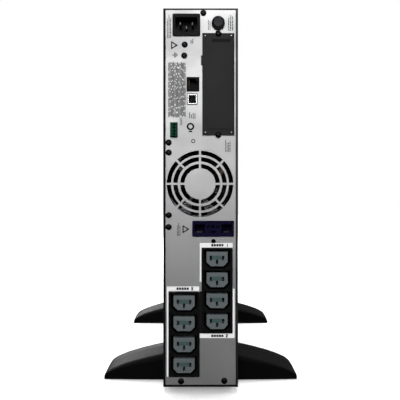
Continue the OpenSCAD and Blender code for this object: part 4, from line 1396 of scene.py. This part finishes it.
# ------------------------------------------------------------------ battery
@dataclass
class BatteryModule:
    """The slide-out battery: tray, four blocks, leads, plug and strap."""

    post_height: float = 5.6 * MM
    vents: int = 6
    lead_radius: float = 2.0 * MM

    def build(self) -> None:
        """Builds the module's pieces."""
        eased_all(("battery_tray", TRAY_PAINT, 0.2), ("battery_blocks", CELL, 0.8),
                  ("battery_plug", GREY, 0.4), ("battery_socket", GREY, 0.4))
        self.block_details()
        self.leads()
        self.strap()

    def blocks(self) -> list[Solid]:
        """Gives the boxes of the battery blocks, without any small solid of their node."""
        return [block for block in solids("battery_blocks") if block.size.y > 0.1]

    def block_details(self) -> None:
        """Builds lid lines, vent caps and plain labels on the battery blocks."""
        vent = section((0, 0.7), (5.2, 0.7), (6, 0.2), (6, -0.5), (0, -0.5))
        lids, labels = Form(), Form()
        for s in self.blocks():
            top = s.high.z - self.post_height
            for x in (s.low.x, s.high.x):
                out = math.copysign(0.35 * MM, x - s.middle.x)
                near, far = min(x, x + out), max(x, x + out)
                lids.block((near, s.low.y + MM, top - 9 * MM), (far, s.high.y - MM, top - 7.8 * MM), 0.1 * MM)
                labels.block((near, s.low.y + 30 * MM, s.low.z + 22 * MM),
                             (far, s.high.y - 30 * MM, s.low.z + 62 * MM), 0.1 * MM)
            for i in range(self.vents):
                lids.turned(vent, Vector((s.middle.x, s.low.y + (26 + i * 20) * MM, top)), UPWARD, 28)
        lids.piece("battery_lids", CELL, "battery_module")
        labels.piece("battery_labels", STRAP, "battery_module")

    def leads(self) -> None:
        """Builds the red leads that join the blocks to the plug."""
        leads, r = whole("battery_leads"), self.lead_radius
        y, bottom, top = leads.low.y + 20 * MM, leads.low.z, leads.high.z
        wires = Form()
        for side in (-1, 1):
            x = side * (self.blocks()[0].high.x + 2.6 * MM)
            route = ((x, y, bottom), (x, y + 2 * MM, (bottom + top) / 2), (x, y, top - 2 * r),
                     (x - side * 5 * MM, y - 4 * MM, top - r))
            wires.tube([Vector(point) for point in route], r)
        wires.piece("battery_wires", LEAD, "battery_module", ["battery_leads"])

    def strap(self) -> None:
        """Builds the pull strap, folded back at its free end and riveted at its root."""
        low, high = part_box("battery_strap")
        strap = Form().block((low.x, low.y, low.z + MM), (high.x, low.y + 0.8 * MM, high.z), 0.2 * MM, 2 * MM)
        strap.turned([(0.0, 0.0), (MM, 0.0), (MM, high.x - low.x), (0.0, high.x - low.x)],
                     Vector((low.x, low.y + MM, low.z + MM)), RIGHTWARD, 16)
        strap.block((low.x, low.y + 1.0 * MM, low.z + MM), (high.x, low.y + 1.8 * MM, low.z + 9 * MM),
                    0.2 * MM)
        rivet = section((0, 1), (1.4, 0.8), (2, 0.2), (2, 0), (0, 0))
        for x in (low.x + 6 * MM, high.x - 6 * MM):
            strap.turned(rivet, Vector((x, low.y + 0.7 * MM, high.z - 4 * MM)), FORWARD, 24)
        strap.piece("battery_pull", STRAP, "battery_module", ["battery_strap"])


# ------------------------------------------------------------------ plastic front
@dataclass
class Front:
    """The bezel, the fixed display panel and the battery door behind the bezel."""

    grooves: int = 18

    def build(self) -> None:
        """Builds the front's pieces."""
        eased_all(("front_bezel", FRONT, 0.6), ("display_panel", FRONT, 0.6),
                  ("battery_door", TRAY_PAINT, 0.2))
        self.thumbscrews()

    def thumbscrews(self) -> None:
        """Builds the knurled thumbscrews of the battery door."""
        screws = Form()
        for s in solids("door_thumbscrews"):
            r = s.size.x / 2
            at = Vector((s.middle.x, s.high.y, s.middle.z))
            knob = Form().turned([(0.0, 0.0), (r * 0.8, 0.0), (r, -0.8 * MM), (r, -7 * MM),
                                  (r * 0.8, -8 * MM), (1.8 * MM, -8 * MM), (1.8 * MM, -s.size.y),
                                  (0.0, -s.size.y)], at, FORWARD, 48)
            ridges = Form()
            for i in range(self.grooves):
                angle = math.tau * i / self.grooves
                spot = at + Vector((math.cos(angle) * r, -4 * MM, math.sin(angle) * r))
                ridges.turned(section((0, -4.2), (0.42, -4.2), (0.42, 4.2), (0, 4.2)), spot, FORWARD, 10)
            slot = Form().block((at.x - r * 1.1, at.y - 1.2 * MM, at.z - 0.6 * MM),
                                (at.x + r * 1.1, at.y + MM, at.z + 0.6 * MM))
            knob.cut(ridges).cut(slot)
            screws.add(knob.mesh)
        screws.piece("door_knobs", ZINC, "battery_door", ["door_thumbscrews"])


@dataclass
class DisplayHead:
    """The turning display: housing, window, panel, lamps and five buttons."""

    margin: float = 4 * MM
    lamp_count: int = 4
    lamp_pitch: float = 8 * MM
    cap_ease: float = 0.35 * MM

    def build(self) -> None:
        """Builds the head's pieces."""
        eased_all(("display_housing", HEAD, 0.5), ("display_faceplate", HEAD, 0.3),
                  ("display_window", WINDOW, 0.25), ("display_board", MASK, 0.1))
        self.screen()
        self.lamps()
        self.buttons()

    def screen(self) -> None:
        """Builds the liquid-crystal panel with a plain read-out of bars and figures."""
        low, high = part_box("lcd_panel")
        glass = Form().block(low, high, 0.3 * MM, 1.0 * MM)
        glass.piece("lcd_glass_panel", LCD, "display_head", ["lcd_panel"])
        ink = Print(high.y, outward=1)
        x0, x1, z0, z1 = low.x + self.margin, high.x - self.margin, low.z + self.margin, high.z - self.margin
        for i, figure in enumerate("230"):
            ink.digit(figure, (x0 + (1 + i * 6.6) * MM, z1 - 10 * MM), 8 * MM, 0.9 * MM)
        for i in range(10):
            ink.patch((x1 - (16 - i * 1.6) * MM, z1 - 10 * MM),
                      (x1 - (14.9 - i * 1.6) * MM, z1 - (8 - i * 0.75) * MM))
        for i in range(5):
            ink.patch((x0 + i * 4.2 * MM, z0 + 1.2 * MM), (x0 + (i * 4.2 + 3.2) * MM, z0 + 5 * MM))
        ink.frame((x0 - 1.2 * MM, z0), (x0 + 21.6 * MM, z0 + 6.2 * MM), 0.4 * MM)
        ink.dashes((x1 - 16 * MM, z0), (x1, z0 + 6 * MM), 3, Axis.X, 21, 0.4, mm(1.5, 4))
        ink.turned_round((low.x + high.x) / 2).done("lcd_readout", BLACK_INK, "display_head")

    def lamps(self) -> None:
        """Builds the four indicator lamps under the window."""
        plate = whole("display_faceplate")
        lens = section((0, 0.45), (0.5, 0.32), (0.8, 0), (0.8, -2), (0, -2))
        lamps = Form()
        for i in range(self.lamp_count):
            x = (i - (self.lamp_count - 1) / 2) * self.lamp_pitch
            lamps.turned(lens, Vector((x, plate.high.y, plate.middle.z - 8 * MM)), FORWARD, 20)
        lamps.piece("status_lamps", LAMP, "display_head")

    def buttons(self) -> None:
        """Builds the five caps and the plain signs on them."""
        button = whole("power_button")
        mid, r, depth = button.middle, button.size.x / 2, button.size.y
        face = Vector((mid.x, button.high.y, mid.z))
        cap = Form().turned([(0.0, -0.35 * MM), (r * 0.6, -0.25 * MM), (r * 0.9, 0.0), (r, -0.35 * MM),
                             (r, -depth), (0.0, -depth)], face, FORWARD, 48)
        cap.piece("power_cap", POWER, "power_button", ["power_button"])
        sign = Print(button.high.y - 0.3 * MM, outward=1, thickness=0.12 * MM)
        sign.ring((mid.x, mid.z - 0.3 * MM), 2.0 * MM, 0.5 * MM, 125, 290)
        sign.stroke((mid.x, mid.z + 0.4 * MM), (mid.x, mid.z + 2.3 * MM), 0.5 * MM)
        sign.done("power_sign", BLACK_INK, "power_button")
        for name in ("escape", "down", "up", "enter"):
            self.cap(f"{name}_button", name)

    def cap(self, node: str, kind: str) -> None:
        """Builds one small cap with its sign.

        Args:
            node: the button's CAD node, which has the name of its body.
            kind: which sign it carries.
        """
        low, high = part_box(node)
        mid = (low + high) / 2
        high.y -= 0.06 * MM
        Form().block(low, high, self.cap_ease, 1.4 * MM).piece(f"{kind}_cap", BUTTON, node, [node])
        sign = Print(high.y, outward=1, thickness=0.05 * MM)
        x, z, s = mid.x, mid.z, 1.5 * MM
        lines = {
            "escape": (((x - s, z - s), (x + s, z + s)), ((x - s, z + s), (x + s, z - s))),
            "enter": (((x - s, z), (x - 0.4 * s, z - s)), ((x - 0.4 * s, z - s), (x + s, z + s))),
            "up": (((x - s, z - 0.6 * s), (x, z + 0.7 * s)), ((x, z + 0.7 * s), (x + s, z - 0.6 * s))),
            "down": (((x - s, z + 0.6 * s), (x, z - 0.7 * s)), ((x, z - 0.7 * s), (x + s, z + 0.6 * s)))}
        for a, b in lines[kind]:
            sign.stroke(a, b, 0.45 * MM)
        # The white sign carries the ink's painted glow.
        sign.turned_round(x).done(f"{kind}_sign", GLOWING_WHITE_INK, node)


# ------------------------------------------------------------------ power stage
@dataclass
class PowerStage:
    """What the case holds besides the battery: boards, cooling, filters and transformer."""

    ring: float = 13 * MM
    wire: float = 0.85 * MM
    turns: int = 30
    turn_half_width: float = 5.6 * MM
    turn_half_height: float = 6.6 * MM
    small_parts: int = 34

    def build(self) -> None:
        """Builds the inner pieces."""
        eased_all(("circuit_boards", MASK, 0.1), ("board_standoffs", STANDOFF, 0.15),
                  ("heatsinks", ALUMINIUM, 0.2), ("power_transistors", CHIP, 0.2), ("relays", RELAY, 0.5),
                  ("transformer_core", CORE_STEEL, 0.3), ("transformer_coil", COIL, 0.8),
                  ("transformer_bracket", ZINC, 0.25))
        self.capacitors()
        self.choke()
        self.chips()

    def capacitors(self) -> None:
        """Builds the can capacitors with a rolled rim, a groove and a bright top."""
        cans, tops = Form(), Form()
        for s in solids("capacitors"):
            r, end = s.size.y / 2, s.size.x
            root = Vector((s.low.x, s.middle.y, s.middle.z))
            cans.turned([(0.0, 0.0), (r - 0.6 * MM, 0.0), (r, 0.8 * MM), (r, 3 * MM),
                         (r - 0.7 * MM, 3.8 * MM), (r, 4.6 * MM), (r, end - 0.8 * MM), (r - 0.5 * MM, end),
                         (r - 2.2 * MM, end), (r - 2.4 * MM, end - 0.6 * MM), (0.0, end - 0.6 * MM)],
                        root, RIGHTWARD, 40)
            tops.turned([(0.0, end - 0.25 * MM), (r - 2.6 * MM, end - 0.35 * MM),
                         (r - 2.4 * MM, end - 0.8 * MM), (0.0, end - 0.8 * MM)], root, RIGHTWARD, 40)
        cans.piece("capacitor_cans", SLEEVE, "chassis", ["capacitors"])
        tops.piece("capacitor_tops", NICKEL, "chassis")

    def choke(self) -> None:
        """Builds the ring choke with its separate turns of thick wire."""
        mid = whole("filter_choke").middle
        inner = self.ring - self.turn_half_width + 1.6 * MM
        outer = self.ring + self.turn_half_width - 1.6 * MM
        rise = self.turn_half_height - 1.4 * MM
        core = Form().turned([(inner, -rise), (outer, -rise), (outer, rise), (inner, rise), (inner, -rise)],
                             mid, RIGHTWARD, 48)
        core.piece("choke_core", CHIP, "chassis")
        template = Form().tube([Vector((x, 0, z)) for x, z in self.turn_outline()], self.wire, 8)
        matrices = [Matrix.Translation(mid) @ Matrix.Rotation(math.tau * i / self.turns, 4, "X")
                    @ Matrix.Rotation(math.pi / 2, 4, "Y") for i in range(self.turns)]
        Form().copies(template, matrices).piece("choke_turns", CHOKE, "chassis", ["filter_choke"])

    def turn_outline(self) -> list[Place]:
        """Gives the path of one turn of wire round the choke's section.

        Returns:
            Points as radius and height, ending beside where they start.
        """
        def squared(value: float) -> float:
            """Pushes a sine or cosine outwards, for a section between round and square."""
            return math.copysign(abs(value) ** 0.6, value)

        angles = [math.tau * i / 12.4 for i in range(13)]
        return [(self.ring + self.turn_half_width * squared(math.cos(angle)),
                 self.turn_half_height * squared(math.sin(angle))) for angle in angles]

    def chips(self) -> None:
        """Builds rows of small parts on the main board."""
        low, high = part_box("circuit_boards")
        rng = random.Random(7)
        face = low.x + 1.6 * MM
        small = Form()
        for _ in range(self.small_parts):
            y = rng.uniform(low.y + 12 * MM, high.y - 40 * MM)
            z = rng.choice((365, 369, 373, 413, 417, 421)) * MM
            w, h = rng.choice(((5, 2.4), (3.2, 1.6), (8, 4), (2, 1.2)))
            small.block((face, y, z), (face + 1.4 * MM, y + w * MM, z + h * MM), 0.15 * MM)
        small.piece("board_small_parts", CHIP, "chassis")


# ------------------------------------------------------------------ tower feet
@dataclass
class TowerFoot:
    """One half of a tower foot: a tapering, ridged block with a tongue under the case."""

    node: str
    side: int
    steps: int = 26
    pad: float = 0.3 * MM
    power: float = 0.55
    tip_height: float = 5 * MM
    shoulder: float = 0.82
    taper: float = 2 * MM
    tongue_gap: float = 0.3 * MM
    tongue_inset: float = 4 * MM
    tongue_top: float = 4.7 * MM

    def build(self) -> None:
        """Builds the foot half and its rubber pads."""
        low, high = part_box(self.node)
        self.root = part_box("side_cover")[1].x + self.tongue_gap
        self.reach = max(abs(low.x), abs(high.x)) - self.root - 0.2 * MM
        self.height = high.z
        self.half_depth = (high.y - low.y) / 2
        self.middle = (high.y + low.y) / 2
        form = Form().add(self.loft(), self.seat())
        half = self.half_depth - self.tongue_inset
        tongue = Form().block((self.tongue_gap, -half, self.pad), (self.root + 2 * MM, half, self.tongue_top),
                              0.4 * MM)
        form.add(tongue.mesh, self.seat())
        body = body_of(self.node)
        form.piece(f"{self.node}_moulding", FOOT, body, [self.node], 50.0)
        self.pads(body)

    def seat(self) -> Matrix:
        """Gives the transform from the half's own frame, which points along +X, to its place."""
        return Matrix.Translation((0, self.middle, 0)) @ Matrix.Diagonal((self.side, 1, 1, 1))

    def scale_at(self, share: float) -> tuple[float, float]:
        """Gives half depth and ridge height at a share of the way out to the tip."""
        ridge = self.tip_height + (self.height - self.tip_height) * (1 - share) ** self.power
        return self.half_depth - self.taper * share * share, ridge - 0.25 * MM

    def loft(self) -> bmesh.types.BMesh:
        """Extrudes the foot's section outwards step by step, scaling it to the ridge's fall.

        Returns:
            The lofted block, closed.
        """
        part = bmesh.new()
        depth, ridge = self.scale_at(0.0)
        rise = ridge - self.pad
        corners = [(-depth, 0.0), (-depth, self.shoulder * rise), (0.0, rise),
                   (depth, self.shoulder * rise), (depth, 0.0)]
        face = part.faces.new([part.verts.new((self.root, y, self.pad + z)) for y, z in corners])
        tops = [v for v in face.verts if v.co.z > self.pad + 1e-6]
        bmesh.ops.bevel(part, geom=tops, offset=6 * MM, offset_type="OFFSET", segments=6, profile=0.5,
                        affect="VERTICES", clamp_overlap=True, material=-1)
        rim = part.faces[:][0].edges[:]
        previous = (depth, ridge)
        at = 0.0
        for i in range(1, self.steps + 1):
            share = min(1 - (1 - i / self.steps) ** 2, 0.9995)
            grown = bmesh.ops.extrude_edge_only(part, edges=rim)["geom"]
            verts = [v for v in grown if isinstance(v, bmesh.types.BMVert)]
            rim = [e for e in grown if isinstance(e, bmesh.types.BMEdge)]
            now = self.scale_at(share)
            bmesh.ops.translate(part, vec=((share - at) * self.reach, 0, -self.pad), verts=verts)
            fall = (now[1] - self.pad) / (previous[1] - self.pad)
            bmesh.ops.scale(part, vec=(1, now[0] / previous[0], fall), verts=verts)
            bmesh.ops.translate(part, vec=(0, 0, self.pad), verts=verts)
            previous, at = now, share
        bmesh.ops.holes_fill(part, edges=rim)
        bmesh.ops.recalc_face_normals(part, faces=part.faces)
        rims = [e for e in part.edges if e.calc_face_angle(0.0) > math.radians(60)]
        bevel(part, rims, 0.7 * MM, 3)
        return part

    def pads(self, body: str) -> None:
        """Builds two rubber pads under the half.

        Args:
            body: the body that the half belongs to.
        """
        disc = section((0, 0), (5.8, 0), (6, 0.2), (6, 1.2), (0, 1.2))
        pads = Form()
        for x in (self.root + 12 * MM, self.root + 52 * MM):
            pads.turned(disc, Vector((self.side * x, self.middle, 0)), UPWARD, 32)
        pads.piece(f"{self.node}_pads", PAD, body)


# ------------------------------------------------------------------ studio
@dataclass
class Studio:
    """A white sweep, soft lights and the camera."""

    camera_back: float = 0.6345
    camera_height: float = 0.222
    lens: float = 50.0
    sensor: float = 36.0
    dusk: float = -0.1
    low_glow: float = 0.03
    high_glow: float = 0.35

    def build(self) -> None:
        """Sets the stage."""
        self.sweep()
        self.light("key_softbox", (-0.1, -1.7, 0.9), (0, -0.235, 0.45), (1.2, 1.0), 2.2, 52.0)
        self.light("top_softbox", (0.0, 0.35, 1.6), (0, 0.1, 0), (1.0, 1.0), 26.0)
        self.light("front_softbox", (-0.7, 1.7, 0.9), (0, 0.2, 0.22), (1.2, 1.0), 34.0)
        self.light("left_softbox", (-1.9, 0.45, 1.1), (0, 0.1, 0.22), (1.2, 1.0), 26.0)
        self.light("right_softbox", (1.9, 0.5, 1.1), (0, 0.1, 0.22), (1.2, 1.0), 26.0)
        self.room()
        bpy.context.scene.view_settings.view_transform = "Standard"
        self.camera()

    def room(self) -> None:
        """Builds the room: white behind the object, and dimmer towards the ground where it lights it."""
        world = bpy.data.worlds.new("white_room")
        world.use_nodes = True
        tree = world.node_tree
        lit = tree.nodes["Background"]
        seen = tree.nodes.new("ShaderNodeBackground")
        seen.inputs["Color"].default_value = (1, 1, 1, 1)
        split = tree.nodes.new("ShaderNodeSeparateXYZ")
        path, choice = tree.nodes.new("ShaderNodeLightPath"), tree.nodes.new("ShaderNodeMixShader")
        tree.links.new(tree.nodes.new("ShaderNodeTexCoord").outputs["Generated"], split.inputs[0])
        rise = map_range(tree, split.outputs["Z"], (self.dusk, 1.0), (self.low_glow, self.high_glow))
        tree.links.new(rise, lit.inputs["Strength"])
        lit.inputs["Color"].default_value = (1, 1, 1, 1)
        tree.links.new(path.outputs["Is Camera Ray"], choice.inputs[0])
        tree.links.new(lit.outputs[0], choice.inputs[1])
        tree.links.new(seen.outputs[0], choice.inputs[2])
        tree.links.new(choice.outputs[0], tree.nodes["World Output"].inputs["Surface"])
        bpy.context.scene.world = world

    def sweep(self) -> None:
        """Builds the pale floor."""
        mesh = bmesh.new()
        bmesh.ops.create_grid(mesh, x_segments=8, y_segments=8, size=6.0)
        data = bpy.data.meshes.new("studio_floor")
        mesh.to_mesh(data)
        mesh.free()
        floor = linked("studio_floor", data)
        board = NodeBoard("studio_paper")
        board.feed(board.blend(board.noise(3.0), (0.93, 0.93, 0.93), (0.95, 0.95, 0.95)), "Base Color")
        away = board.tree.nodes.new("ShaderNodeVectorMath")
        away.operation = "LENGTH"
        board.tree.links.new(board.place, away.inputs[0])
        board.feed(board.spread(away.outputs["Value"], 0.25, 1.0, 0.4, 1.2), "Emission Strength")
        board.set(Roughness=0.9, Specular_IOR_Level=0.0, Emission_Color=(1, 1, 1, 1))
        data.materials.append(board.material)
        floor.visible_glossy = floor.visible_diffuse = False

    def light(self, name: str, at: Sequence[float], aim: Sequence[float], size: Place, power: float,
              spread: float = 180.0) -> None:
        """Adds a rectangular soft light.

        Args:
            name: the light's name.
            at: where it stands.
            aim: the point that it looks at.
            size: its width and height.
            power: its power in watts.
            spread: the angle that it shines into, in degrees.
        """
        lamp = bpy.data.lights.new(name, "AREA")
        lamp.spread = math.radians(spread)
        lamp.shape = "RECTANGLE"
        lamp.size, lamp.size_y = size
        lamp.energy = power
        holder = linked(name, lamp)
        holder.location = at
        holder.rotation_euler = (Vector(aim) - Vector(at)).to_track_quat("-Z", "Y").to_euler()

    def camera(self) -> None:
        """Adds the camera, level and square to the connector panel."""
        data = bpy.data.cameras.new("camera")
        data.lens, data.sensor_width = self.lens, self.sensor
        data.shift_x, data.shift_y = -0.0016, -0.008
        data.clip_start = 0.01
        camera = linked("camera", data)
        camera.location = (0.0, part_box("rear_panel")[0].y - self.camera_back, self.camera_height)
        camera.rotation_euler = (math.pi / 2, 0, 0)
        bpy.context.scene.camera = camera


def main() -> None:
    """Builds every sub-assembly in order."""
    feet = [TowerFoot(f"foot_{end}_{name}", side) for end in ("rear", "front")
            for name, side in (("left", -1), ("right", 1))]
    groups = [Studio(), Case(), ConnectorPanel(), Outlets(), Inlet(), Breaker(), Jacks(), ExtensionSocket(),
              OptionSlot(), Fan(), BatteryModule(), Front(), DisplayHead(), PowerStage(), *feet]
    for group in groups:
        log.info("building %s", type(group).__name__)
        group.build()


if __name__ == "__main__":
    logging.basicConfig(level=logging.INFO, format="%(message)s")
    main()
